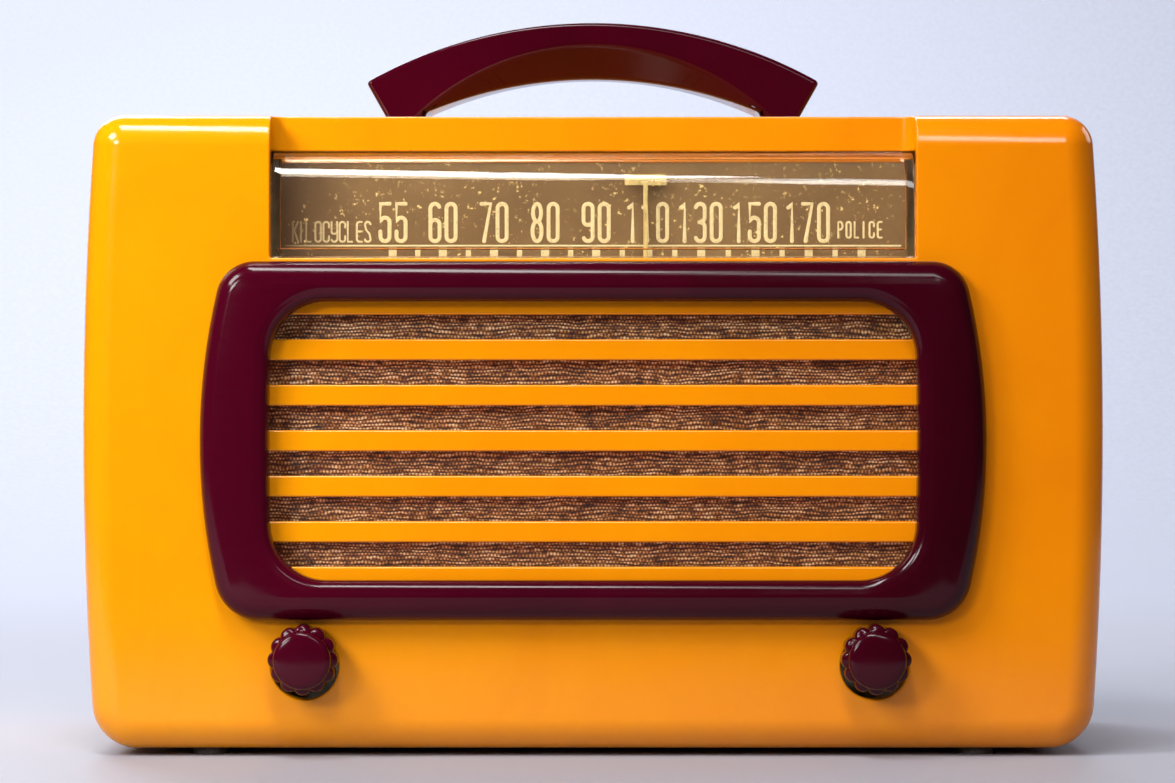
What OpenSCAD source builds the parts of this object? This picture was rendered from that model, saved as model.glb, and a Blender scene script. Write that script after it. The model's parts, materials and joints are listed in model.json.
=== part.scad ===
// Table radio with a cast phenolic cabinet, a carrying handle, a slide-rule dial and a full chassis.
// Frame: X runs across the front, Y runs from front to back, Z is up.
// The origin is on the table, under the middle of the whole radio, knobs included.

/* [Cabinet] */
// Width across the widest part of the bowed sides
cabinet_w = 292; // [280:1:352]
// Height of the cabinet body above its feet
cabinet_h = 181; // [178:1:220]
// Depth of the cabinet body, front face to back edge
cabinet_d = 148; // [144:1:180]
// Thickness of the front, sides and bottom
wall = 7; // [5:0.5:8.5]
// Thickness of the top
top_wall = 10; // [8:0.5:12]
// Radius of the bow of each side
side_bow_r = 1190; // [900:10:2000]
// Radius of the top corners
top_corner_r = 9; // [6:0.5:14]
// Radius of the bottom corners
bottom_corner_r = 13; // [8:0.5:18]
// Radius of the front edge all round
front_edge_r = 9; // [4:0.5:11]
// Height of the feet
foot_h = 2; // [1:0.5:5]
// Diameter of each foot
foot_dia = 10; // [8:0.5:14]
// Distance of the feet from the middle
foot_x = 110; // [90:1:120]

/* [Dial window] */
// Width of the window and of the dial recess
window_w = 184; // [176:1:204]
// Height of the window below the top wall
window_h = 31; // [28:0.5:36]
// How far the front end of the top wall is set back
strip_set_back = 13; // [10:0.5:16]
// Radius of the fillets at the ends of the set-back strip
strip_fillet = 4; // [1:0.5:6]
// Thickness of the clear lens
lens_t = 2.4; // [1.6:0.2:3]
// Radius of the curved top of the lens
lens_r = 12; // [8:0.5:14]
// Depth from the cabinet face to the lens
lens_depth = 2; // [1:0.25:3]
// Depth from the cabinet face to the printed dial plate
dial_depth = 16; // [15:0.25:17]
// Thickness of the dial plate
dial_t = 1; // [0.6:0.1:1.2]

/* [Grille] */
// Half width of the bezel at its widest
bezel_half_w = 111.7; // [106:0.5:120]
// Height of the bezel
bezel_h = 102; // [98:0.5:108]
// How far the bezel stands out of the cabinet
bezel_proud = 8; // [6:0.5:11]
// Width of the bezel opening
opening_w = 184; // [170:1:190]
// Height of the bezel opening
opening_h = 79; // [74:0.5:82]
// Radius of the corners of the bezel opening
opening_r = 16; // [8:0.5:20]
// Number of grille slots
slot_count = 6; // [4:1:6]
// Height of each slot
slot_h = 7; // [4:0.25:8]
// Spacing of the slots
slot_pitch = 12.95; // [11:0.05:13]

/* [Handle] */
// Radius of the outer arc of the handle
handle_outer_r = 138; // [130:1:160]
// Radius of the inner arc of the handle
handle_inner_r = 125; // [118:1:132]
// Thickness of the handle at its middle
handle_t = 16.5; // [14:0.5:18]
// Height of the handle above the cabinet
handle_rise = 31.3; // [30:0.1:34]
// Front-to-back width of the handle
handle_w = 26; // [22:1:34]
// Half of the angle that the handle spans
handle_angle = 29.4; // [28:0.1:30.5]

/* [Knobs] */
// Distance of the volume shaft from the middle
volume_x = 82; // [76:0.5:90]
// Distance of the tuning shaft from the middle
tuning_x = 80; // [76:0.1:86]
// Height of both shafts above the table
shaft_z = 28.2; // [26:0.1:28.5]
// Diameter of the knobs across their lobes
knob_dia = 20; // [18:0.5:26]
// Number of lobes round each knob
knob_lobes = 12; // [8:1:16]
// How far the knobs stand out of the cabinet
knob_proud = 15; // [12:0.5:20]
// Gap kept round each knob where the bezel reaches it
knob_gap = 0.5; // [0.3:0.1:0.7]
// Diameter of the control shafts
shaft_dia = 6.35; // [6:0.05:6.4]
// Running clearance of each turning shaft in its bore
running_gap = 0.05; // [0.02:0.01:0.1]

/* [Chassis] */
// Thickness of the chassis sheet
sheet = 1.2; // [0.8:0.1:1.4]
// Height of the chassis pan
chassis_h = 32.7; // [31:0.1:36]
// Depth from the cabinet face to the chassis
chassis_depth = 24; // [23:0.5:26]
// Room between the back of the chassis and the back edge of the cabinet
chassis_back_gap = 18; // [17:0.5:24]
// Height of the tuning capacitor shaft above the table
gang_z = 75.5; // [75.5:0.1:77]
// Radius of the dial cord on the drum
drum_cord_r = 41.4; // [40:0.1:42]
// Radius of the loudspeaker frame
speaker_r = 44.5; // [42:0.5:44.5]
// Distance of the loudspeaker from the middle
speaker_x = 38; // [30:1:42]
// Diameter of the tube bases
tube_dia = 30; // [26:0.5:31]

/* [Fits] */
// Assembly clearance between pieces that do not move
assembly_gap = 0.3; // [0.2:0.05:0.5]
// Radial gap of a screw in the hole that it grips
grip_gap = 0.03; // [0.02:0.01:0.05]
// Shank radius of the small screws
small_screw_r = 1.5; // [1.25:0.05:1.6]
// Shank radius of the large screws
large_screw_r = 2; // [1.75:0.05:2.2]

/* [Hidden] */
$fn = 72;
eps = 0.01;
cut = 1;

// Cabinet levels
front_y = knob_proud - (cabinet_d + knob_proud) / 2;
floor_z = foot_h + wall;
top_z = foot_h + cabinet_h;
ceiling_z = top_z - top_wall;
mid_z = foot_h + cabinet_h / 2;
mid_depth = cabinet_d / 2;
half_w = cabinet_w / 2;

// Dial window and lens
window_top = ceiling_z;
window_bottom = window_top - window_h;
window_half = window_w / 2;
lens_half = window_half - assembly_gap;
lens_bottom = window_bottom + assembly_gap;
lens_top = window_top - assembly_gap;
lens_lip_back = wall + assembly_gap + lens_t;
lens_flange_back = dial_depth - 0.6;
lens_ear = 4;

// Bezel and grille
bezel_lip = 1;
bezel_top = window_bottom - bezel_lip;
bezel_bottom = bezel_top - bezel_h;
bezel_mid = (bezel_top + bezel_bottom) / 2;
bezel_bow_r = 187;
bezel_top_r = 11;
bezel_bottom_r = 13;
bezel_edge_r = 5;
bezel_flare = 3;
opening_bow_r = 800;
opening_bottom = bezel_mid - opening_h / 2;
slots_half = opening_w / 2 + 3;
bezel_screw_x = (bezel_half_w + opening_w / 2) / 2 - 0.5;
bezel_screw_rise = 23;
cloth_t = 0.5;
board_t = 3;
board_half_w = opening_w / 2 + 3.5;
board_high = bezel_mid + opening_h / 2 + 4.5;
board_screw_x = board_half_w - 4;
board_screw_rise = opening_h / 2 + 1;
board_front = wall + cloth_t;
board_back = board_front + board_t;

// Dial mechanism
cord_r = 0.4;
cord_gap = 0.35;
cord_depth = 18.5;
drive_depth = 15.2;
rail_depth = 14.9;
rail_r = 1.2;
pointer_z = window_bottom - 5;
bracket_front = chassis_depth - sheet;
idler_r = 6;
small_idler_r = 3;
lower_run_z = pointer_z - 2 * small_idler_r;
left_idler = [-window_half - 12, pointer_z - small_idler_r];
right_idler = [tuning_x + drum_cord_r - idler_r, pointer_z - idler_r];
lower_idler = [tuning_x - drum_cord_r - idler_r, lower_run_z - idler_r];
idler_half_t = 1.5;
pin_r = 1.2;
rail_tab_x = window_half + 2.8;
pointer_x = 15.1;
drum_flange = 1.2;
drive_cord_r = shaft_dia / 2 + cord_gap + cord_r;

// Chassis
chassis_half = half_w - 20;
chassis_back = cabinet_d - chassis_back_gap;
deck_top = floor_z + assembly_gap + chassis_h;
pan_bottom = floor_z + assembly_gap;
flange_w = 11;
flange_x = chassis_half - flange_w / 2;
chassis_screw_inset = 16;
leg_w = 20;
leg_left = left_idler[0] - leg_w / 2;
leg_right = right_idler[0] + leg_w / 2;
gang_front = chassis_depth + 3;
gang_depth = 42;
gang_half_w = 24;
gang_sheet = 1.5;
gang_bottom = gang_z - 25;
gang_rest_angle = 103.9;
rotor_r = 18;
gang_plate_t = 0.6;
gang_pitch = 3;
gang_plates = 5;
gang_starts = [gang_front + 5, gang_front + 23];

// Loudspeaker, measured from the back of the baffle board
carriage_drop = 2.8;
speaker_z = bezel_mid - 2;
board_low = speaker_z - speaker_r - 0.5;
gasket_t = 1;
cone_edge_r = speaker_r - 9.3;
coil_r = 7.4;
coil_t = 0.6;
coil_gap = 0.4;
basket_depth = 27;
magnet_r = 16;

// Tubes on the deck: distance from the middle, depth from the cabinet face, bulb height
tubes = [[40, 84, 62], [2, 84, 62], [-72, 84, 62], [-106, 58, 72], [-106, 100, 68]];
socket_h = 5;
base_h = 20;
bulb_wall = 1;
if_cans = [[30, 44], [-36, 86]];
can_w = 30;
can_h = 74;

// Back
cover_t = 2.5;
cover_back = cabinet_d - 3;
cover_front = cover_back - cover_t;
post_r = 5;
post_x = half_w - 17;
post_low_z = floor_z + 9;
post_high_z = ceiling_z - 11;
low_post_front = chassis_back + 1.3;
high_post_front = cover_front - 20;
grommet_x = 96;
grommet_z = floor_z + 13;
grommet_bore_r = 3.2;
grommet_hole_r = 6;

// Cabinet fastenings and knob holes
handle_screw_x = 55;
knob_hole_r = 9.6;
knob_hole_drop = 2.2;
head_well = 1.2 * large_screw_r + 0.6;

// Lens clips, dial spacers and bracket screws
lens_clip_z = window_bottom + 12;
lens_clip_x = window_half + 10;
lens_clip_t = 1;
spacer_x = window_half - 7;
spacer_places = [for (s = [-1, 1], z = [window_bottom + 6, window_top - 6]) [s * spacer_x, z]];
bracket_screw_places = [for (x = [leg_left + leg_w / 2, leg_right - leg_w / 2], rise = [11, 24])
    [x, pan_bottom + rise]];

// Pointer and its carriage
carriage_front = 12.9;
carriage_back = 17;
needle_w = 1.3;
pointer_head_w = 12;
pointer_head_h = 3.2;
pointer_top = window_top - 6.6;

// Handle
handle_top = top_z + handle_rise;
handle_foot_in = 50;
scoop_r = 75;
scoop_depth = 8;

// Knobs, volume control and tuning shaft
knob_back = -1.5;
knob_skirt = 8.5;
knob_bore = 9;
bushing_r = 4.7;
bushing_front = chassis_depth - 6;
pot_r = 11.5;
pot_t = 12;
tuning_bushing_front = cord_depth + 2.5;

// Tuning capacitor and drum
gang_back = gang_front + gang_depth;
gang_foot_places = [
    [tuning_x - 15, gang_front + 7], [tuning_x + 15, gang_front + 7], [tuning_x, gang_back - 8]
];
stator_bar_r = 1.6;
stator_bar_places = [[tuning_x - 20.4, gang_z + 5], [tuning_x - 20.4, gang_z - 5]];
drum_front = drive_depth - 1.8;
drum_back = cord_depth + 1.8;

// Loudspeaker rim and what stands on the deck
speaker_front = board_back + gasket_t;
speaker_screw_r = speaker_r - 2.9;
base_z = deck_top + socket_h;
bulb_z = base_z + base_h;
lamp_x = 0;
output_place = [76, 104];
capacitor_place = [112, 104];
capacitor_r = 12.5;
capacitor_h = 58;

// ---- Shared shapes. Inside these, Y is the depth behind the front face. ----

module from_front() {
    translate([0, front_y, 0]) children();
}

// A flat outline drawn in X and Z, made solid between two depths
module slab(d0, d1) {
    translate([0, d1, 0]) rotate([90, 0, 0]) linear_extrude(d1 - d0) children();
}

// A flat outline drawn in depth and Z, made solid between two X positions
module beam(x0, x1) {
    translate([x0, 0, 0]) rotate([90, 0, 90]) linear_extrude(x1 - x0) children();
}

module box(x0, x1, d0, d1, z0, z1) {
    translate([x0, d0, z0]) cube([x1 - x0, d1 - d0, z1 - z0]);
}

module rod_y(x, z, d0, d1, r) {
    slab(d0, d1) translate([x, z]) circle(r);
}

module rod_x(d, z, x0, x1, r) {
    translate([x0, d, z]) rotate([0, 90, 0]) cylinder(h = x1 - x0, r = r);
}

module rod_z(x, d, z0, z1, r) {
    translate([x, d, z0]) cylinder(h = z1 - z0, r = r);
}

// A profile of radius and depth, turned about an axis that runs front to back
module turned(x, z, d0) {
    translate([x, d0, z]) rotate([-90, 0, 0]) rotate_extrude() children();
}

module mirror_x() {
    children();
    mirror([1, 0, 0]) children();
}

function arc(cx, cz, r, a0, a1, first, n) =
    [for (i = [first:n]) let (a = a0 + (a1 - a0) * i / n) [cx + r * cos(a), cz + r * sin(a)]];

// Right half of an outline with bowed sides: corner arcs run into one side arc without a kink
function bowed_half(hw, mz, bow, z0, z1, r0, r1) =
    let (
        cx = hw - bow,
        low_x = cx + sqrt(pow(bow - r0, 2) - pow(z0 + r0 - mz, 2)),
        high_x = cx + sqrt(pow(bow - r1, 2) - pow(z1 - r1 - mz, 2)),
        low_a = atan2(z0 + r0 - mz, low_x - cx),
        high_a = atan2(z1 - r1 - mz, high_x - cx)
    )
    concat(
        arc(low_x, z0 + r0, r0, -90, low_a, 0, 6),
        arc(cx, mz, bow, low_a, high_a, 1, 8),
        arc(high_x, z1 - r1, r1, high_a, 90, 1, 6)
    );

function bowed_outline(hw, mz, bow, z0, z1, r0, r1) =
    let (h = bowed_half(hw, mz, bow, z0, z1, r0, r1))
    concat(h, [for (i = [len(h) - 1:-1:0]) [-h[i][0], h[i][1]]]);

function cabinet_outline(inset, top_inset) =
    bowed_outline(
        half_w - inset, mid_z, side_bow_r - inset, foot_h + inset, top_z - top_inset,
        max(bottom_corner_r - inset, 0.6), max(top_corner_r - inset, 0.6)
    );

function bezel_outline(inset) =
    bowed_outline(
        bezel_half_w - inset, bezel_mid, bezel_bow_r - inset, bezel_bottom + inset,
        bezel_top - inset, bezel_bottom_r - inset, bezel_top_r - inset
    );

function opening_outline(grow) =
    bowed_outline(
        opening_w / 2 + grow, bezel_mid, opening_bow_r + grow, opening_bottom - grow,
        opening_bottom + opening_h + grow, opening_r + grow, opening_r + grow
    );

// A screw along Y, head at the back, with a domed head drawn as a stepped disc
module screw_y(x, z, tip_d, seat_d, r) {
    rod_y(x, z, tip_d, seat_d + eps, r);
    rod_y(x, z, seat_d, seat_d + r, 2 * r);
    rod_y(x, z, seat_d + r - eps, seat_d + 1.3 * r, 1.5 * r);
}

// A screw along Z, head at the bottom
module screw_z(x, d, head_z, tip_z, r) {
    rod_z(x, d, head_z + 1.2 * r - eps, tip_z, r);
    rod_z(x, d, head_z, head_z + 1.2 * r, 2 * r);
}

// ---- Cabinet ----

// Positions that the cabinet shares with its fasteners
function bezel_screw_places() =
    [for (sx = [-1, 1], sz = [-1, 1]) [sx * bezel_screw_x, bezel_mid + sz * bezel_screw_rise]];
function board_screw_places() =
    [for (sx = [-1, 1], sz = [-1, 1]) [sx * board_screw_x, bezel_mid + sz * board_screw_rise]];
function chassis_screw_places() =
    [for (sx = [-1, 1], d = [chassis_depth + chassis_screw_inset, chassis_back - chassis_screw_inset])
        [sx * flange_x, d]];
function foot_places() =
    [for (sx = [-1, 1], d = [front_edge_r + foot_dia / 2, cabinet_d - foot_dia]) [sx * foot_x, d]];
function post_places() =
    [for (sx = [-1, 1], z = [post_low_z, post_high_z]) [sx * post_x, z]];

module cabinet_shell() {
    steps = 6;
    difference() {
        hull() {
            for (i = [0:steps - 1]) {
                a = 90 * i / steps;
                d = front_edge_r * (1 - cos(a));
                slab(d, d + eps) polygon(cabinet_outline(front_edge_r * (1 - sin(a)),
                                                         front_edge_r * (1 - sin(a))));
            }
            slab(front_edge_r, cabinet_d) polygon(cabinet_outline(0, 0));
        }
        slab(wall, cabinet_d + cut) polygon(cabinet_outline(wall, top_wall));
    }
}

module screw_posts() {
    for (p = post_places()) {
        d0 = p[1] == post_low_z ? low_post_front : high_post_front;
        rod_y(p[0], p[1], d0, cover_front, post_r);
        side = p[0] > 0 ? 1 : -1;
        slab(d0, cover_front) translate([side > 0 ? p[0] : p[0] - (half_w - wall / 2 - post_x), p[1] - 2])
            square([half_w - wall / 2 - post_x, 4]);
    }
}

module recess_cut() {
    // Through the front wall
    box(-window_half, window_half, -cut, wall + cut, window_bottom, top_z + cut);
    // Ahead of the set-back end of the top wall, with filleted ends
    translate([0, 0, window_top]) linear_extrude(top_wall + cut) union() {
        translate([-window_half, -cut]) square([window_w, strip_set_back - strip_fillet + cut]);
        translate([-window_half + strip_fillet, 0])
            square([window_w - 2 * strip_fillet, strip_set_back]);
        for (s = [-1, 1])
            translate([s * (window_half - strip_fillet), strip_set_back - strip_fillet])
                circle(strip_fillet);
    }
}

module slots_cut() {
    first = bezel_mid - slot_pitch * (slot_count - 1) / 2;
    for (i = [0:slot_count - 1]) {
        z = first + i * slot_pitch;
        slab(-cut, wall + cut) union() {
            translate([-slots_half + slot_h / 2, z - slot_h / 2])
                square([2 * slots_half - slot_h, slot_h]);
            for (s = [-1, 1])
                translate([s * (slots_half - slot_h / 2), z]) circle(slot_h / 2);
        }
    }
}

module cabinet() {
    color("#f9a400") from_front() difference() {
        union() {
            cabinet_shell();
            screw_posts();
        }
        recess_cut();
        slots_cut();
        rod_y(-volume_x, shaft_z - knob_hole_drop, -cut, wall + cut, knob_hole_r);
        rod_y(tuning_x, shaft_z - knob_hole_drop, -cut, wall + cut, knob_hole_r);
        for (p = bezel_screw_places())
            rod_y(p[0], p[1], -cut, wall + cut, small_screw_r + assembly_gap);
        for (p = board_screw_places())
            rod_y(p[0], p[1], wall - 5, wall + cut, small_screw_r + grip_gap);
        for (s = [-1, 1])
            rod_y(s * lens_clip_x, lens_clip_z, wall - 5, wall + cut, small_screw_r + grip_gap);
        for (p = chassis_screw_places()) {
            rod_z(p[0], p[1], foot_h - cut, floor_z + cut, large_screw_r + assembly_gap);
            rod_z(p[0], p[1], foot_h - cut, foot_h + head_well, 2 * large_screw_r + assembly_gap);
        }
        for (s = [-1, 1])
            rod_z(s * handle_screw_x, mid_depth, ceiling_z - cut, top_z + cut,
                  large_screw_r + assembly_gap);
        for (p = post_places())
            rod_y(p[0], p[1], cover_front - 11, cover_front + cut, small_screw_r + grip_gap);
    }
}

module feet() {
    color("#4a4038") from_front()
        for (p = foot_places()) rod_z(p[0], p[1], 0, foot_h, foot_dia / 2);
}

// ---- Bezel, grille cloth and baffle ----

module grille_bezel() {
    steps = 5;
    color("#4c0016") from_front() difference() {
        hull() {
            for (i = [0:steps]) {
                a = 90 * i / steps;
                d = bezel_edge_r * (1 - cos(a)) - bezel_proud;
                slab(d, d + eps) polygon(bezel_outline(bezel_edge_r * (1 - sin(a))));
            }
            slab(-eps, 0) polygon(bezel_outline(0));
        }
        slab(-bezel_proud - cut, cut) polygon(opening_outline(0));
        hull() {
            slab(-bezel_proud - eps, -bezel_proud) polygon(opening_outline(bezel_flare));
            slab(eps - bezel_proud + bezel_flare, 2 * eps - bezel_proud + bezel_flare)
                polygon(opening_outline(0));
        }
        for (p = bezel_screw_places())
            rod_y(p[0], p[1], 2 - bezel_proud, cut, small_screw_r + grip_gap);
        // Relief round the knobs, for a bezel that comes down to them
        for (x = [-volume_x, tuning_x])
            rod_y(x, shaft_z, -bezel_proud - cut, cut, knob_dia / 2 + knob_gap);
    }
}

module bezel_screws() {
    color("silver") from_front()
        for (p = bezel_screw_places()) screw_y(p[0], p[1], 3 - bezel_proud, wall, small_screw_r);
}

module grille_cloth() {
    color("#8a6038") from_front() difference() {
        slab(wall, wall + cloth_t) translate([-board_half_w, board_low])
            square([2 * board_half_w, board_high - board_low]);
        for (p = board_screw_places())
            rod_y(p[0], p[1], wall - cut, wall + cloth_t + cut, small_screw_r + grip_gap);
    }
}

module baffle_board() {
    color("#3b2c20") from_front() difference() {
        slab(board_front, board_back) translate([-board_half_w, board_low])
            square([2 * board_half_w, board_high - board_low]);
        rod_y(-speaker_x, speaker_z, board_front - cut, board_back + cut, speaker_r - 6);
        for (p = board_screw_places())
            rod_y(p[0], p[1], board_front - cut, board_back + cut, small_screw_r + assembly_gap);
        for (p = speaker_screw_places())
            rod_y(p[0], p[1], board_front - cut, board_back + cut, small_screw_r + grip_gap);
    }
}

module baffle_screws() {
    color("silver") from_front()
        for (p = board_screw_places())
            screw_y(p[0], p[1], wall - 4, board_back, small_screw_r);
}

// ---- Lens and dial ----

// Side outline of the lens cover, its sheet taken off by inset
module lens_side(inset, back) {
    r = lens_r - inset;
    front = lens_depth + inset;
    top = lens_top - inset;
    bottom = lens_bottom + inset;
    intersection() {
        union() {
            translate([front, bottom]) square([back - front, top - r - bottom]);
            translate([front + r, bottom]) square([back - front - r, top - bottom]);
            translate([front + r, top - r]) circle(r);
        }
        translate([front, bottom]) square([back - front, top - bottom]);
    }
}

module dial_lens() {
    color([0.86, 0.84, 0.78, 0.35]) from_front() union() {
        beam(-lens_half, lens_half) difference() {
            lens_side(0, lens_flange_back);
            lens_side(lens_t, lens_flange_back + cut);
            translate([lens_lip_back, lens_bottom - cut]) square([20, window_h - lens_t - 4]);
        }
        for (x = [-lens_half, lens_half - lens_t])
            beam(x, x + lens_t) lens_side(0, lens_lip_back);
        box(-lens_half - lens_ear, lens_half + lens_ear, wall + assembly_gap, lens_lip_back,
            lens_bottom - 4, lens_bottom + lens_t);
        for (x = [-lens_half - lens_ear, lens_half])
            box(x, x + lens_ear, wall + assembly_gap, lens_lip_back, lens_bottom - 4,
                lens_top - lens_r);
    }
}

module lens_clips() {
    back = lens_lip_back + lens_clip_t;
    color("#b8b8b4") from_front() mirror_x() difference() {
        union() {
            box(lens_clip_x - 4, lens_clip_x + 4, wall, back, lens_clip_z - 4, lens_clip_z + 4);
            box(window_half + 1, lens_clip_x, lens_lip_back, back, lens_clip_z - 4,
                lens_clip_z + 4);
        }
        rod_y(lens_clip_x, lens_clip_z, wall - cut, back + cut, small_screw_r + assembly_gap);
    }
}

module lens_screws() {
    color("silver") from_front() for (s = [-1, 1])
        screw_y(s * lens_clip_x, lens_clip_z, wall - 4, lens_lip_back + lens_clip_t,
                small_screw_r);
}

module dial_plate() {
    color("#96724a") from_front() slab(dial_depth, dial_depth + dial_t)
        translate([-window_half + 1.5, window_bottom - 1.4]) square([window_w - 3, window_h + 0.9]);
}

module dial_spacers() {
    color("silver") from_front()
        for (p = spacer_places) rod_y(p[0], p[1], dial_depth + dial_t, bracket_front, 2.5);
}

module dial_bracket() {
    color("#a9aaa5") from_front() difference() {
        union() {
            slab(bracket_front, chassis_depth) union() {
                translate([leg_left, window_bottom - 2])
                    square([leg_right - leg_left, window_h - 1]);
                translate([leg_left, pan_bottom + 4])
                    square([leg_w, window_bottom - pan_bottom - 5]);
                translate([leg_right - leg_w, pan_bottom + 4])
                    square([leg_w, window_bottom - pan_bottom - 5]);
                translate([lower_idler[0] - 8, lower_idler[1] - 8])
                    square([16, window_bottom - lower_idler[1] + 7]);
            }
            for (x = [-rail_tab_x - sheet, rail_tab_x]) beam(x, x + sheet) union() {
                translate([11.5, pointer_z + 4]) square([bracket_front - 11.5 + eps, 8]);
                translate([11.5, pointer_z - 3.5]) square([5.5, 8]);
            }
        }
        for (p = [left_idler, right_idler, lower_idler])
            rod_y(p[0], p[1], bracket_front - cut, chassis_depth + cut, pin_r + grip_gap);
        for (p = bracket_screw_places)
            rod_y(p[0], p[1], bracket_front - cut, chassis_depth + cut,
                  small_screw_r + assembly_gap);
        rod_x(rail_depth, pointer_z, -rail_tab_x - 2 * sheet, rail_tab_x + 2 * sheet,
              rail_r + grip_gap);
    }
}

module bracket_screws() {
    color("silver") from_front() mirror([0, 1, 0]) translate([0, -2 * bracket_front, 0])
        for (p = bracket_screw_places)
            screw_y(p[0], p[1], bracket_front - 2 * sheet - 2, bracket_front, small_screw_r);
}

module pointer_rail() {
    color("silver") from_front()
        rod_x(rail_depth, pointer_z, -rail_tab_x - 2 * sheet, rail_tab_x + 2 * sheet, rail_r);
}

module pointer_carriage() {
    color("#c9c4b4") from_front() difference() {
        union() {
            box(pointer_x - 7, pointer_x + 7, carriage_front, carriage_back, pointer_z - carriage_drop,
                pointer_z + 2.4);
            for (z = [pointer_z - 2, pointer_z + cord_r + cord_gap])
                box(pointer_x - 3, pointer_x + 3, carriage_back - eps, cord_depth + 1.2, z, z + 1.2);
        }
        rod_x(rail_depth, pointer_z, pointer_x - 7 - cut, pointer_x + 7 + cut,
              rail_r + running_gap);
    }
}

module dial_pointer() {
    color("#e6ddc4") from_front() slab(carriage_front - 0.6, carriage_front) union() {
        translate([pointer_x - needle_w / 2, pointer_z - carriage_drop])
            square([needle_w, pointer_top - pointer_z + 2]);
        translate([pointer_x - pointer_head_w / 2, pointer_top - pointer_head_h])
            square([pointer_head_w, pointer_head_h]);
    }
}

// ---- Handle ----

module handle() {
    outer_z = handle_top - handle_outer_r;
    inner_top = handle_top - handle_t;
    reach = 2 * handle_outer_r;
    front = mid_depth - handle_w / 2;
    back = mid_depth + handle_w / 2;
    scoop_top = handle_top - 6.9;
    scoop_z = scoop_top - scoop_r;
    color("#500417") from_front() difference() {
        slab(front, back) difference() {
            intersection() {
                translate([0, outer_z]) circle(handle_outer_r);
                translate([0, outer_z]) polygon([
                    [0, 0],
                    [reach * sin(handle_angle), reach * cos(handle_angle)],
                    [-reach * sin(handle_angle), reach * cos(handle_angle)]
                ]);
                translate([-reach / 2, top_z]) square([reach, reach]);
            }
            intersection() {
                translate([0, inner_top - handle_inner_r]) circle(handle_inner_r);
                translate([-handle_foot_in, 0]) square([2 * handle_foot_in, reach]);
            }
        }
        // The lower edges are scooped away for the fingers
        translate([0, front - eps, scoop_z]) rotate([-90, 0, 0])
            cylinder(h = scoop_depth, r1 = scoop_r, r2 = scoop_r - (scoop_top - inner_top));
        translate([0, back + eps, scoop_z]) rotate([90, 0, 0])
            cylinder(h = scoop_depth, r1 = scoop_r, r2 = scoop_r - (scoop_top - inner_top));
        for (s = [-1, 1])
            rod_z(s * handle_screw_x, mid_depth, top_z - cut, top_z + 11, large_screw_r + grip_gap);
    }
}

module handle_screws() {
    color("silver") from_front() for (s = [-1, 1])
        screw_z(s * handle_screw_x, mid_depth, ceiling_z - 1.2 * large_screw_r, top_z + 9.5,
                large_screw_r);
}

// ---- Controls ----

module knob(x) {
    lobe_r = knob_dia * 0.13;
    ring = knob_dia / 2 - lobe_r;
    face_r = knob_dia * 0.41;
    difference() {
        intersection() {
            slab(-knob_proud, knob_back) translate([x, shaft_z]) union() {
                circle(ring + lobe_r * 0.35);
                for (i = [0:knob_lobes - 1]) rotate(i * 360 / knob_lobes)
                    translate([ring, 0]) circle(lobe_r);
            }
            turned(x, shaft_z, 0) polygon(concat(
                [[0, knob_back], [knob_dia / 2 + cut, knob_back],
                 [knob_dia / 2 + cut, knob_back - knob_skirt + 1],
                 [knob_dia / 2 - 0.8, knob_back - knob_skirt],
                 [face_r + 0.4, knob_back - knob_skirt - 0.6]],
                [for (a = [0:15:90]) [face_r - 2.4 * (1 - cos(a)), -knob_proud + 2.6 - 2 * sin(a)]],
                [[0, -knob_proud]]
            ));
        }
        rod_y(x, shaft_z, knob_back - knob_bore, cut, shaft_dia / 2 + grip_gap);
    }
}

module volume_knob() {
    color("#48101f") from_front() knob(-volume_x);
}

module tuning_knob() {
    color("#48101f") from_front() knob(tuning_x);
}

module volume_shaft() {
    color("silver") from_front()
        rod_y(-volume_x, shaft_z, knob_back - knob_bore + 0.5, chassis_depth + sheet + pot_t - 3,
              shaft_dia / 2);
}

module volume_control() {
    color("#6b6f6c") from_front() difference() {
        union() {
            rod_y(-volume_x, shaft_z, chassis_depth + sheet, chassis_depth + sheet + pot_t, pot_r);
            rod_y(-volume_x, shaft_z, bushing_front, chassis_depth + sheet + eps, bushing_r);
            for (dx = [-7, 0, 7])
                box(dx - volume_x - 1.5, dx - volume_x + 1.5, chassis_depth + sheet + 2,
                    chassis_depth + sheet + 3, shaft_z - pot_r - 5, shaft_z - pot_r + 4);
        }
        rod_y(-volume_x, shaft_z, bushing_front - cut, chassis_depth + sheet + pot_t - 2,
              shaft_dia / 2 + running_gap);
    }
}

module hex_nut(x, back_d) {
    difference() {
        slab(back_d - 2.5, back_d) translate([x, shaft_z]) circle(7.3, $fn = 6);
        rod_y(x, shaft_z, back_d - 3.5, back_d + cut, bushing_r + grip_gap);
    }
}

module volume_nut() {
    color("silver") from_front() hex_nut(-volume_x, chassis_depth);
}

module tuning_shaft() {
    color("silver") from_front()
        rod_y(tuning_x, shaft_z, knob_back - knob_bore + 0.5, chassis_depth + 14, shaft_dia / 2);
}

module tuning_bushing() {
    color("#c9a350") from_front() difference() {
        union() {
            rod_y(tuning_x, shaft_z, tuning_bushing_front, chassis_depth + 10, bushing_r);
            rod_y(tuning_x, shaft_z, chassis_depth + sheet, chassis_depth + sheet + 2.5, 7);
        }
        rod_y(tuning_x, shaft_z, tuning_bushing_front - cut, chassis_depth + 11,
              shaft_dia / 2 + running_gap);
    }
}

module tuning_clip() {
    clip_d = chassis_depth + 10 + assembly_gap;
    color("#8c8f90") from_front() difference() {
        rod_y(tuning_x, shaft_z, clip_d, clip_d + 0.8, 5);
        rod_y(tuning_x, shaft_z, clip_d - cut, clip_d + 2, shaft_dia / 2 + grip_gap);
    }
}

// ---- Chassis ----

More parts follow.
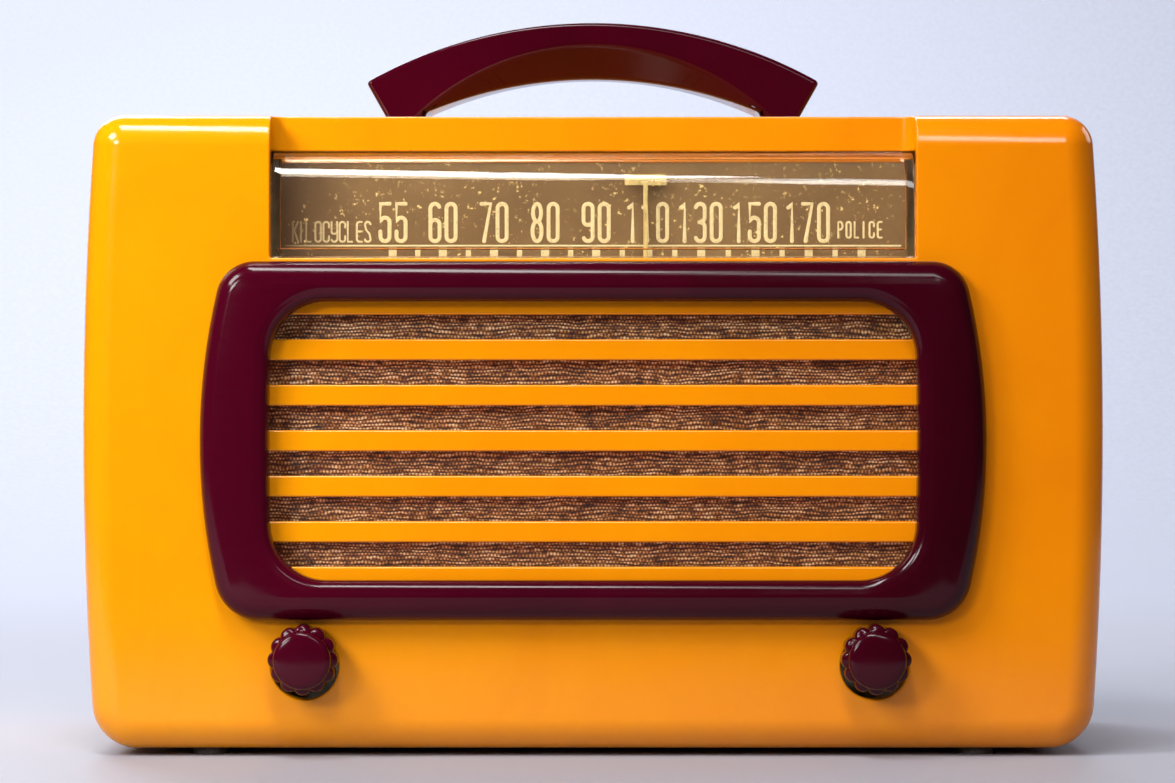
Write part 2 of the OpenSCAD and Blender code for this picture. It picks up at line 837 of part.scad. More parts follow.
module chassis() {
    color("#b4b5ae") from_front() difference() {
        box(-chassis_half, chassis_half, chassis_depth, chassis_back, pan_bottom, deck_top);
        box(-chassis_half + sheet, chassis_half - sheet, chassis_depth + sheet,
            chassis_back - sheet, pan_bottom + sheet, deck_top - sheet);
        box(-chassis_half + flange_w, chassis_half - flange_w, chassis_depth + sheet,
            chassis_back - sheet, pan_bottom - cut, pan_bottom + sheet + cut);
        for (p = chassis_screw_places())
            rod_z(p[0], p[1], pan_bottom - cut, pan_bottom + sheet + cut,
                  large_screw_r + grip_gap);
        for (x = [-volume_x, tuning_x])
            rod_y(x, shaft_z, chassis_depth - cut, chassis_depth + sheet + cut,
                  bushing_r + grip_gap);
        // Relief in the deck, for a volume control that comes up to it
        rod_y(-volume_x, shaft_z, chassis_depth + sheet + eps, chassis_depth + sheet + pot_t + assembly_gap,
              pot_r + assembly_gap);
        for (p = bracket_screw_places)
            rod_y(p[0], p[1], chassis_depth - cut, chassis_depth + sheet + cut,
                  small_screw_r + grip_gap);
        for (t = tubes)
            rod_z(t[0], t[1], deck_top - sheet - cut, deck_top + cut, 12);
        // The mains cord enters through the rear apron
        rod_y(grommet_x, grommet_z, chassis_back - sheet - cut, chassis_back + cut, 5);
        // Cooling slots in the rear apron
        for (x = [-90:20:70])
            box(x, x + 12, chassis_back - sheet - cut, chassis_back + cut, pan_bottom + 12,
                pan_bottom + 15);
    }
}

module chassis_screws() {
    color("silver") from_front() for (p = chassis_screw_places())
        screw_z(p[0], p[1], foot_h + 0.6, pan_bottom + sheet + 3, large_screw_r);
}

// ---- Tuning capacitor and drum ----

module gang_frame() {
    color("#c2c3bd") from_front() difference() {
        union() {
            box(tuning_x - gang_half_w, tuning_x + gang_half_w, gang_front, gang_back, gang_bottom,
                gang_bottom + gang_sheet);
            for (d = [gang_front, gang_back - gang_sheet])
                box(tuning_x - gang_half_w, tuning_x + gang_half_w, d, d + gang_sheet,
                    gang_bottom, gang_z + 12);
        }
        rod_y(tuning_x, gang_z, gang_front - cut, gang_back + cut, shaft_dia / 2 + running_gap);
        for (p = gang_foot_places)
            rod_z(p[0], p[1], gang_bottom - cut, gang_bottom + 3, 2.4 + grip_gap);
        for (p = stator_bar_places)
            rod_y(p[0], p[1], gang_front - cut, gang_back + cut, stator_bar_r + grip_gap);
    }
}

module gang_grommets() {
    color("#2c2a29") from_front() for (p = gang_foot_places) {
        rod_z(p[0], p[1], deck_top, gang_bottom, 5);
        rod_z(p[0], p[1], gang_bottom - eps, gang_bottom + gang_sheet + 1, 2.4);
    }
}

module half_disc(r, hole) {
    difference() {
        intersection() {
            circle(r);
            translate([-r - cut, -r - cut]) square([r + cut, 2 * r + 2 * cut]);
        }
        circle(hole);
    }
}

// Fixed plates fill the left half. Moving plates fill it too when the gang is closed.
module gang_stator() {
    color("#d8d9d4") from_front() {
        for (start = gang_starts) for (i = [0:gang_plates - 1]) {
            d = start + i * gang_pitch;
            slab(d, d + gang_plate_t) translate([tuning_x, gang_z]) difference() {
                half_disc(rotor_r + 3.6, 5);
                translate([-5, -30]) square([6, 60]);
            }
        }
        for (p = stator_bar_places) rod_y(p[0], p[1], gang_front, gang_back, stator_bar_r);
    }
}

module gang_rotor() {
    color("#dcdcd6") from_front() difference() {
        union() {
            for (start = gang_starts) {
                for (i = [0:gang_plates - 2]) {
                    d = start + (i + 0.5) * gang_pitch;
                    slab(d, d + gang_plate_t) translate([tuning_x, gang_z])
                        rotate(-gang_rest_angle) half_disc(rotor_r, 0.5);
                }
                rod_y(tuning_x, gang_z, start + 0.5, start + gang_plates * gang_pitch - 3.2, 4.4);
            }
        }
        rod_y(tuning_x, gang_z, gang_front, gang_back, shaft_dia / 2 + grip_gap);
    }
}

module gang_shaft() {
    color("silver") from_front()
        rod_y(tuning_x, gang_z, drum_front - 1, gang_back + 2, shaft_dia / 2);
}

module dial_drum() {
    groove_r = drum_cord_r - cord_r - cord_gap;
    flange_r = drum_cord_r + drum_flange;
    t = drum_back - drum_front;
    g0 = drive_depth - drum_front;
    g1 = cord_depth - drum_front;
    color("#55432f") from_front() difference() {
        turned(tuning_x, gang_z, drum_front) union() {
            translate([shaft_dia / 2 + grip_gap, 0]) square([6, t + 1.5]);
            translate([5, t / 2 - 1]) square([groove_r - 6, 2]);
            polygon([
                [groove_r - 3, 0], [flange_r, 0], [flange_r, g0 - 1.1], [groove_r, g0 - 0.9],
                [groove_r, g0 + 0.9], [flange_r, g0 + 1.1], [flange_r, g1 - 1.1],
                [groove_r, g1 - 0.9], [groove_r, g1 + 0.9], [flange_r, g1 + 1.1], [flange_r, t],
                [groove_r - 3, t]
            ]);
        }
        for (a = [45:90:315]) translate([tuning_x + 23 * cos(a), 0, gang_z + 23 * sin(a)])
            rod_y(0, 0, drum_front - cut, drum_back + cut, 8);
    }
}

// ---- Dial cord and pulleys ----

module pulley(place, r) {
    groove_r = r - cord_r - cord_gap;
    flange_r = r + 1.3;
    t = 2 * idler_half_t;
    turned(place[0], place[1], cord_depth - idler_half_t) polygon([
        [pin_r + running_gap, 0], [flange_r, 0], [flange_r, t / 2 - 1.1], [groove_r, t / 2 - 0.9],
        [groove_r, t / 2 + 0.9], [flange_r, t / 2 + 1.1], [flange_r, t], [pin_r + running_gap, t]
    ]);
}

module left_pulley() {
    color("#d9b65a") from_front() pulley(left_idler, small_idler_r);
}

module right_pulley() {
    color("#d9b65a") from_front() pulley(right_idler, idler_r);
}

module lower_pulley() {
    color("#d9b65a") from_front() pulley(lower_idler, idler_r);
}

module pulley_pins() {
    pulley_front = cord_depth - idler_half_t - assembly_gap;
    pulley_back = cord_depth + idler_half_t + assembly_gap;
    color("silver") from_front() for (p = [left_idler, right_idler, lower_idler]) {
        rod_y(p[0], p[1], pulley_front - eps, chassis_depth + 0.8, pin_r);
        rod_y(p[0], p[1], pulley_front - 0.8, pulley_front, 2 * pin_r);
        rod_y(p[0], p[1], pulley_back, bracket_front, 1.7 * pin_r);
    }
}

// Straight stretch of cord, a hair thinner than the arcs and let into their ends
module cord_run(x0, z0, x1, z1, d) {
    run = norm([x1 - x0, z1 - z0]);
    lap = 0.2;
    translate([x0, d, z0]) rotate([0, atan2(x1 - x0, z1 - z0), 0]) translate([0, 0, -lap])
        cylinder(h = run + 2 * lap, r = cord_r * 0.95);
}

// Arc of cord in the plane of the dial; angles run anticlockwise as seen from the front
module cord_arc(place, ring, d, from, sweep) {
    translate([place[0], d, place[1]]) rotate([90, 0, 0]) rotate([0, 0, from])
        rotate_extrude(angle = sweep) translate([ring, 0]) circle(cord_r, $fn = 24);
}

module pointer_cord() {
    drum = [tuning_x, gang_z];
    d = cord_depth;
    color("#d8cfb2") from_front() union() {
        cord_run(left_idler[0], pointer_z, right_idler[0], pointer_z, d);
        cord_arc(left_idler, small_idler_r, d, 90, 180);
        cord_run(left_idler[0], lower_run_z, lower_idler[0], lower_run_z, d);
        cord_arc(lower_idler, idler_r, d, 0, 90);
        cord_run(drum[0] - drum_cord_r, gang_z, drum[0] - drum_cord_r, lower_idler[1], d);
        cord_arc(drum, drum_cord_r, d, 180, 180);
        cord_run(drum[0] + drum_cord_r, gang_z, drum[0] + drum_cord_r, right_idler[1], d);
        cord_arc(right_idler, idler_r, d, 0, 90);
    }
}

module drive_cord() {
    drum = [tuning_x, gang_z];
    lean = acos((drum_cord_r - drive_cord_r) / (gang_z - shaft_z));
    d = drive_depth;
    color("#d8cfb2") from_front() union() {
        cord_arc(drum, drum_cord_r, d, lean - 90, 360 - 2 * lean);
        cord_arc([tuning_x, shaft_z], drive_cord_r, d, -90 - lean, 2 * lean);
        for (s = [-1, 1]) cord_run(
            tuning_x + s * drum_cord_r * sin(lean), gang_z - drum_cord_r * cos(lean),
            tuning_x + s * drive_cord_r * sin(lean), shaft_z - drive_cord_r * cos(lean), d
        );
    }
}

// ---- Loudspeaker ----

function speaker_screw_places() =
    [for (a = [45:90:315])
        [-speaker_x + speaker_screw_r * cos(a), speaker_z + speaker_screw_r * sin(a)]];

module speaker_basket() {
    rim_in = speaker_r - 8;
    color("#4c5054") from_front() difference() {
        turned(-speaker_x, speaker_z, speaker_front) polygon([
            [rim_in, 0], [speaker_r, 0], [speaker_r, 1.2], [rim_in + 1.2, 1.2],
            [magnet_r + 3, basket_depth - 1.2], [magnet_r + 3, basket_depth],
            [coil_r + 2, basket_depth], [coil_r + 2, basket_depth - 1.2],
            [magnet_r + 1, basket_depth - 1.2], [magnet_r + 1, basket_depth - 1.8], [rim_in, 1.2]
        ]);
        for (a = [0:60:300])
            translate([-speaker_x, 0, speaker_z]) rotate([0, a, 0]) translate([magnet_r + 8, 0, -6])
                translate([0, speaker_front + 3, 0]) cube([rim_in, basket_depth - 8, 12]);
        for (p = speaker_screw_places())
            rod_y(p[0], p[1], speaker_front - cut, speaker_front + 2, small_screw_r + assembly_gap);
    }
}

module speaker_gasket() {
    color("#7d7265") from_front() difference() {
        turned(-speaker_x, speaker_z, board_back)
            translate([speaker_r - 5.4, 0]) square([5.4, gasket_t]);
        for (p = speaker_screw_places())
            rod_y(p[0], p[1], board_back - cut, speaker_front + cut, small_screw_r + assembly_gap);
    }
}

module speaker_surround() {
    inner = cone_edge_r + assembly_gap;
    color("#3a332c") from_front() turned(-speaker_x, speaker_z, speaker_front - 0.5) polygon([
        [inner, 0], [speaker_r - 5.6, 0], [speaker_r - 5.6, 0.5], [inner, 0.5]
    ]);
}

module speaker_cone() {
    throat = 15;
    color("#57504a") from_front() turned(-speaker_x, speaker_z, speaker_front) polygon([
        [cone_edge_r, 0.8], [cone_edge_r, 1.4], [coil_r, throat + 0.6], [0, throat - 3],
        [0, throat - 3.5], [coil_r - 1.2, throat - 0.9]
    ]);
}

module voice_coil() {
    color("#b87333") from_front() turned(-speaker_x, speaker_z, speaker_front)
        translate([coil_r - coil_t, 15.6]) square([coil_t, basket_depth + 3.5 - 15.6]);
}

module speaker_magnet() {
    pole_r = coil_r - coil_t - coil_gap;
    gap_r = coil_r + coil_gap;
    gap_floor = basket_depth + 6;
    color("#5f6164") from_front() turned(-speaker_x, speaker_z, speaker_front) polygon([
        [0, basket_depth - 2], [pole_r, basket_depth - 2], [pole_r, gap_floor],
        [gap_r, gap_floor], [gap_r, basket_depth], [magnet_r, basket_depth],
        [magnet_r, basket_depth + 18], [0, basket_depth + 18]
    ]);
}

module speaker_screws() {
    color("silver") from_front() for (p = speaker_screw_places())
        screw_y(p[0], p[1], board_front + 0.5, speaker_front + 1.2, small_screw_r);
}

// ---- Deck parts ----

module output_transformer() {
    x = output_place[0];
    d = output_place[1];
    color("#6e6a62") from_front() {
        difference() {
            box(x - 20, x + 20, d - 8, d + 8, deck_top, deck_top + 34);
            for (dx = [-11, 4]) box(x + dx, x + dx + 7, d - 9, d + 9, deck_top + 7, deck_top + 27);
        }
        difference() {
            box(x - 11, x + 11, d - 15, d + 15, deck_top + 7 + assembly_gap, deck_top + 26.7);
            box(x - 4.3, x + 4.3, d - 8.3, d + 8.3, deck_top + 6, deck_top + 28);
            for (dx = [-12, 3.9]) box(x + dx, x + dx + 8.1, d - 8.3, d + 8.3, deck_top + 6,
                                      deck_top + 7.3);
        }
    }
}

module if_transformers() {
    color("#c8c9c4") from_front() for (c = if_cans) difference() {
        box(c[0] - can_w / 2, c[0] + can_w / 2, c[1] - can_w / 2, c[1] + can_w / 2, deck_top,
            deck_top + can_h);
        box(c[0] - can_w / 2 + 1, c[0] + can_w / 2 - 1, c[1] - can_w / 2 + 1,
            c[1] + can_w / 2 - 1, deck_top - cut, deck_top + can_h - 1);
        for (dx = [-7, 7])
            rod_z(c[0] + dx, c[1], deck_top + can_h - 2, deck_top + can_h + cut, 2.5);
    }
}

module filter_capacitor() {
    color("#b9bab4") from_front() turned_z(capacitor_place[0], capacitor_place[1], deck_top)
        polygon([
            [0, 0], [capacitor_r, 0], [capacitor_r, 1], [capacitor_r - 0.5, 2],
            [capacitor_r - 0.5, capacitor_h - 2], [capacitor_r - 1.5, capacitor_h], [0, capacitor_h]
        ]);
}

// A profile of radius and height, turned about an upright axis
module turned_z(x, d, z0) {
    translate([x, d, z0]) rotate_extrude() children();
}

module tube_sockets() {
    color("#2e2420") from_front() for (t = tubes)
        turned_z(t[0], t[1], deck_top - sheet) polygon([
            [0, -3], [11.5, -3], [11.5, sheet], [15.5, sheet], [15.5, sheet + socket_h - 1],
            [14.5, sheet + socket_h], [0, sheet + socket_h]
        ]);
}

module tube_bases() {
    color("#221b19") from_front() for (t = tubes) turned_z(t[0], t[1], base_z) polygon([
        [0, 0], [tube_dia / 2 - 1, 0], [tube_dia / 2, 1], [tube_dia / 2, base_h],
        [tube_dia / 2 - 2, base_h], [tube_dia / 2 - 2, base_h - 3], [0, base_h - 3]
    ]);
}

module tube_bulbs() {
    r = tube_dia / 2 - 2 - assembly_gap;
    color([0.82, 0.86, 0.86, 0.4]) from_front() for (t = tubes)
        turned_z(t[0], t[1], bulb_z) difference() {
            bulb_side(r, t[2], -3 + eps);
            bulb_side(r - bulb_wall, t[2] - bulb_wall, -3 + bulb_wall);
        }
}

// Half side view of a bulb: straight wall with a domed top
module bulb_side(r, h, bottom) {
    intersection() {
        union() {
            translate([0, bottom]) square([r, h - r * 0.6 - bottom]);
            translate([0, h - r * 1]) circle(r);
        }
        translate([0, bottom]) square([r + cut, h - bottom + cut]);
    }
}

module tube_plates() {
    color("#3c3d3f") from_front() for (t = tubes) turned_z(t[0], t[1], bulb_z) polygon([
        [0, bulb_wall - 3], [3, bulb_wall - 3], [3, 6], [7, 6], [7, 8], [6, 8], [6, t[2] - 22],
        [7.5, t[2] - 22], [7.5, t[2] - 20], [0, t[2] - 20]
    ]);
}

module pilot_lamp() {
    z = window_top - 14;
    color("#e8dfb8") from_front() turned(lamp_x, z, chassis_depth) polygon([
        [0, 0], [6, 0], [6, 9], [4.8, 9], [4.8, 12], [5.6, 16], [5.6, 20], [4.4, 24], [2.2, 26],
        [0, 26.4]
    ]);
}

// ---- Back ----

module back_cover() {
    vent_rows = 5;
    color("#5a4432") from_front() difference() {
        slab(cover_front, cover_back)
            polygon(cabinet_outline(wall + assembly_gap, top_wall + assembly_gap));
        for (i = [0:vent_rows - 1], x = [-96:16:84])
            box(x, x + 11, cover_front - cut, cover_back + cut, post_low_z + 56 + i * 12,
                post_low_z + 60 + i * 12);
        for (x = [-96:16:68])
            box(x, x + 11, cover_front - cut, cover_back + cut, post_low_z + 6, post_low_z + 10);
        for (p = post_places())
            rod_y(p[0], p[1], cover_front - cut, cover_back + cut, small_screw_r + assembly_gap);
        rod_y(grommet_x, grommet_z, cover_front - cut, cover_back + cut,
              grommet_hole_r + grip_gap);
    }
}

module back_screws() {
    color("silver") from_front() for (p = post_places())
        screw_y(p[0], p[1], cover_front - 9, cover_back, small_screw_r);
}

module loop_antenna() {
    half = post_x - 17;
    low = post_low_z + 44;
    high = ceiling_z - 8;
    color("#8a4b2a") from_front() slab(cover_front - 2, cover_front) difference() {
        rounded([-half, low], [half, high], 16);
        rounded([-half + 9, low + 9], [half - 9, high - 9], 7);
    }
}

module rounded(low, high, r) {
    translate([low[0] + r, low[1]]) square([high[0] - low[0] - 2 * r, high[1] - low[1]]);
    translate([low[0], low[1] + r]) square([high[0] - low[0], high[1] - low[1] - 2 * r]);
    for (x = [low[0] + r, high[0] - r], z = [low[1] + r, high[1] - r])
        translate([x, z]) circle(r);
}

module cord_grommet() {
    color("#26211e") from_front() turned(grommet_x, grommet_z, cover_front - 1.5) polygon([
        [grommet_bore_r, 0], [grommet_hole_r + 2, 0], [grommet_hole_r + 2, 1.5],
        [grommet_hole_r, 1.5], [grommet_hole_r, cover_t + 1.5], [grommet_hole_r + 2, cover_t + 1.5],
        [grommet_hole_r + 2, cover_t + 3], [grommet_bore_r, cover_t + 3]
    ]);
}

cabinet();
grille_bezel();
bezel_screws();
grille_cloth();
baffle_board();
baffle_screws();
dial_lens();
lens_clips();
lens_screws();
dial_plate();
dial_spacers();
dial_bracket();
bracket_screws();
pointer_rail();
pointer_carriage();
dial_pointer();
handle();
handle_screws();
volume_knob();
volume_shaft();
volume_control();
volume_nut();
tuning_knob();
tuning_shaft();
tuning_bushing();
tuning_clip();
feet();
chassis();
chassis_screws();
gang_frame();
gang_grommets();
gang_stator();
gang_rotor();
gang_shaft();
dial_drum();
left_pulley();
right_pulley();
lower_pulley();
pulley_pins();
pointer_cord();
drive_cord();
speaker_basket();
speaker_gasket();
speaker_surround();
speaker_cone();
voice_coil();
speaker_magnet();
speaker_screws();
output_transformer();
if_transformers();
filter_capacitor();
tube_sockets();
tube_bases();
tube_bulbs();
tube_plates();
pilot_lamp();
back_cover();
back_screws();
loop_antenna();
cord_grommet();
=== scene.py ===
# %% [markdown]
# # A cast phenolic table radio
# The cabinet of this radio was poured as a syrup into a lead mould, cured for days in an oven, and then
# sanded and polished by hand. The shell is amber yellow; the bezel, handle and knobs are maroon.
# The frame holds every working part already, in its right place. These cells give the shells their real
# roundings and every surface its finish.

# %% The frame and its box
import json
import math

import bmesh
import bpy
from mathutils import Matrix, Vector


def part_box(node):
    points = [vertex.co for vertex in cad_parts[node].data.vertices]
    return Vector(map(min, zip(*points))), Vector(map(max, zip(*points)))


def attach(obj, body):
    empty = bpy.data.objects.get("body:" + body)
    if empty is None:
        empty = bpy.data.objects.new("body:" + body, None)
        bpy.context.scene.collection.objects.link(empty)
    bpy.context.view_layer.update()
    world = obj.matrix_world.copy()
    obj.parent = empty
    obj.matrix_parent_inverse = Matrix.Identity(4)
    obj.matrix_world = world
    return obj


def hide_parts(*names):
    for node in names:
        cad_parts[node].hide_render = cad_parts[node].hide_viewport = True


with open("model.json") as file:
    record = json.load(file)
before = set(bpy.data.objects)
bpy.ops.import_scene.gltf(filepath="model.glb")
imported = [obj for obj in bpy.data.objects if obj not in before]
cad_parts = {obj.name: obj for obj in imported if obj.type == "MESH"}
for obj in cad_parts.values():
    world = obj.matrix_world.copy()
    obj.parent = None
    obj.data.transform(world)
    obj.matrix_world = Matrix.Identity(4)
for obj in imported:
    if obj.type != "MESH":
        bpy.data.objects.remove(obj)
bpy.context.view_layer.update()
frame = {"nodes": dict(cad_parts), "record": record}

MM = 0.001
FRONT_Y = -66.5 * MM
nodes = frame["nodes"]

# %% [markdown]
# The camera stands level with the middle of the dial, 1.2 m in front of the cabinet, with a long lens,
# so the front shows almost no perspective. The stage is one pale sheet that sweeps up behind the radio.

# %% Camera and stage
camera_data = bpy.data.cameras.new("camera")
camera_data.lens = 129.3
camera_data.sensor_width = 36
camera = bpy.data.objects.new("camera", camera_data)
camera.location = (-0.0016, FRONT_Y - 1.2, 0.104)
camera.rotation_euler = (math.radians(90), 0, 0)
bpy.context.scene.collection.objects.link(camera)
bpy.context.scene.camera = camera
bpy.context.scene.view_settings.view_transform = "Standard"


def mesh_object(name, verts, faces):
    """A new object at the origin whose place is all in its mesh."""
    mesh = bpy.data.meshes.new(name)
    mesh.from_pydata(verts, [], faces)
    obj = bpy.data.objects.new(name, mesh)
    bpy.context.scene.collection.objects.link(obj)
    return obj


def swept_floor():
    """A flat floor whose back turns up in one large curve."""
    reach, front, bend_start, bend_r = 1.2, -0.42, 0.9, 0.7
    line = [(front, 0.0), (bend_start, 0.0)]
    for i in range(1, 25):
        a = math.radians(90 * i / 24)
        line.append((bend_start + bend_r * math.sin(a), bend_r * (1 - math.cos(a))))
    line.append((bend_start + bend_r, 3.2))
    verts = [(x, y, z) for y, z in line for x in (-reach, reach)]
    faces = [(2 * i, 2 * i + 1, 2 * i + 3, 2 * i + 2) for i in range(len(line) - 1)]
    return mesh_object("backdrop", verts, faces)


backdrop = swept_floor()
backdrop.data.shade_smooth()
print("camera", [round(v, 4) for v in camera.location], "backdrop faces", len(backdrop.data.polygons))

# %% [markdown]
# Every finish below is a small graph of nodes. One function adds a node, sets it and links it, and one
# turns the familiar hex colours to the linear numbers that a shader works in.


# %% Adding a node, and colours
def add(tree, kind, inputs=None, **settings):
    """Adds a node with its settings. An input is a value, or another node's output to link."""
    node = tree.nodes.new(kind)
    for name, value in settings.items():
        setattr(node, name, value)
    for key, value in (inputs or {}).items():
        if isinstance(value, bpy.types.NodeSocket):
            tree.links.new(value, node.inputs[key])
        else:
            node.inputs[key].default_value = value
    return node


def linear(code, alpha=1.0):
    """An sRGB hex colour as the linear colour that nodes use."""
    values = [int(code[i:i + 2], 16) / 255 for i in (1, 3, 5)]
    return [v / 12.92 if v <= 0.04045 else ((v + 0.055) / 1.055) ** 2.4 for v in values] + [alpha]


def new_material(name, shader_inputs):
    """A material with one Principled shader. Returns it, its tree, its shader and its coordinates."""
    material = bpy.data.materials.new(name)
    material.use_nodes = True
    tree = material.node_tree
    tree.nodes.clear()
    shader = add(tree, "ShaderNodeBsdfPrincipled", shader_inputs)
    add(tree, "ShaderNodeOutputMaterial", {"Surface": shader.outputs[0]})
    where = add(tree, "ShaderNodeTexCoord").outputs["Object"]
    return material, tree, shader, where


def maths(tree, operation, *values):
    """One step of arithmetic on numbers or outputs."""
    return add(tree, "ShaderNodeMath", dict(enumerate(values)), operation=operation).outputs[0]


def shift(tree, place, by):
    return add(tree, "ShaderNodeVectorMath", {0: place, 1: by}, operation="ADD").outputs[0]


def split(tree, place):
    """The X, Y and Z of a vector, by name."""
    return add(tree, "ShaderNodeSeparateXYZ", {"Vector": place}).outputs


def vector(tree, **axes):
    return add(tree, "ShaderNodeCombineXYZ", axes).outputs[0]


def mix_colours(tree, factor, first, second):
    return add(tree, "ShaderNodeMix", {0: factor, 6: first, 7: second}, data_type="RGBA").outputs[2]


def grain(tree, where, size_mm, stretch=(1, 1, 1), detail=3.0, rough=0.5, warp=0.0):
    """Noise whose blobs are about size_mm across, as the Fac output."""
    place = add(tree, "ShaderNodeMapping", {"Vector": where, "Scale": stretch})
    noise = add(tree, "ShaderNodeTexNoise", {
        "Vector": place.outputs[0], "Scale": 1 / (size_mm * MM), "Detail": detail, "Roughness": rough,
        "Distortion": warp})
    return noise.outputs["Fac"]


def ramp(tree, factor, stops):
    """A colour ramp from (place, hex colour) pairs."""
    node = add(tree, "ShaderNodeValToRGB", {"Fac": factor})
    points = node.color_ramp.elements
    while len(points) < len(stops):
        points.new(0.5)
    for point, (place, code) in zip(points, stops):
        point.position = place
        point.color = linear(code)
    return node.outputs["Color"]


def spread(tree, factor, low, high, start=0.3, end=0.7):
    """Spreads a factor between two numbers."""
    return add(tree, "ShaderNodeMapRange", {
        "Value": factor, "From Min": start, "From Max": end, "To Min": low, "To Max": high}).outputs[0]


def bump(tree, height, depth_mm, strength=1.0, after=None):
    """A bump whose full height is depth_mm."""
    inputs = {"Height": height, "Distance": depth_mm * MM, "Strength": strength}
    if after is not None:
        inputs["Normal"] = after
    return add(tree, "ShaderNodeBump", inputs).outputs[0]


def surface(tree, shader, colour, roughness, normal):
    """Links what varies over a finish to its shader."""
    for name, value in (("Base Color", colour), ("Roughness", roughness), ("Normal", normal)):
        tree.links.new(value, shader.inputs[name])


def show_instead(tree, factor, shader, other):
    """Puts another shader in the first one's place where the factor is 1."""
    both = add(tree, "ShaderNodeMixShader", {0: factor, 1: shader.outputs[0], 2: other.outputs[0]})
    out = next(n for n in tree.nodes if n.type == "OUTPUT_MATERIAL")
    tree.links.new(both.outputs[0], out.inputs["Surface"])


def dress(obj, material):
    """Gives an object one material in place of any others."""
    obj.data.materials.clear()
    obj.data.materials.append(material)


print("amber", [round(v, 3) for v in linear("#ffa800")])

# %% [markdown]
# ## Cast phenolic resin
# The resin is clear and the pigment in it is not quite evenly stirred, so the yellow has faint clouds, and
# light goes a little way in before it comes back: a touch of subsurface scattering. Its refractive index is
# about 1.6. Hand polishing leaves broad, barely seen waves and a fine haze of rubbing marks, so the gloss is
# high but not glassy.


# %% The two castings
def cast_resin(name, cloud_and_shade_stops, scatter, scatter_radius, gloss, haze, shine):
    """Polished cast resin: clouded colour with painted shade that darkens it towards the right, slight
    scattering, rubbing marks.
    """
    material, tree, shader, where = new_material(name, {
        "IOR": 1.6, "Specular IOR Level": shine, "Subsurface Weight": scatter,
        "Subsurface Radius": scatter_radius, "Subsurface Scale": 0.004})
    clouds = grain(tree, where, 55, stretch=(1, 1, 0.7), detail=4, rough=0.55, warp=0.8)
    axes = split(tree, where)
    # Painted shade: the colour is lighter on the left and darker to the right, as the key light falls from
    # the left.
    painted_side_shade = maths(tree, "MULTIPLY_ADD", axes["X"], -1.9, 0.22)
    clouds_and_painted_shade = maths(tree, "MULTIPLY_ADD", clouds, 0.5, painted_side_shade)
    rubbing = grain(tree, where, 1.6, stretch=(0.15, 1, 1), detail=5, rough=0.7)
    waved = bump(tree, grain(tree, where, 38, detail=1), 0.35, 0.35)
    surface(tree, shader, ramp(tree, clouds_and_painted_shade, cloud_and_shade_stops), spread(tree, rubbing, gloss, gloss + haze),
            bump(tree, rubbing, 0.004, 0.5, waved))
    return material


cast_yellow = cast_resin("amber_cast_phenolic", [
    (0.15, "#e47e00"), (0.5, "#f29100"), (0.85, "#fca100")], 0.1, (1.0, 0.42, 0.05), 0.1, 0.07, 0.33)
cast_maroon = cast_resin("maroon_cast_phenolic", [
    (0.15, "#280007"), (0.5, "#3c0012"), (0.85, "#4a0219")], 0.03, (1.0, 0.2, 0.2), 0.09, 0.08, 0.18)
print("castings", cast_yellow.name, cast_maroon.name)

# %% [markdown]
# ## Sheet metal, wire, board and glass inside
# The working parts have plain trade finishes. Each one differs in its colours, its metal or not, its
# roughness and the size of its grain, so one table holds them and one function builds them. Stretched grain
# gives the lie of rolling, braiding or turning.

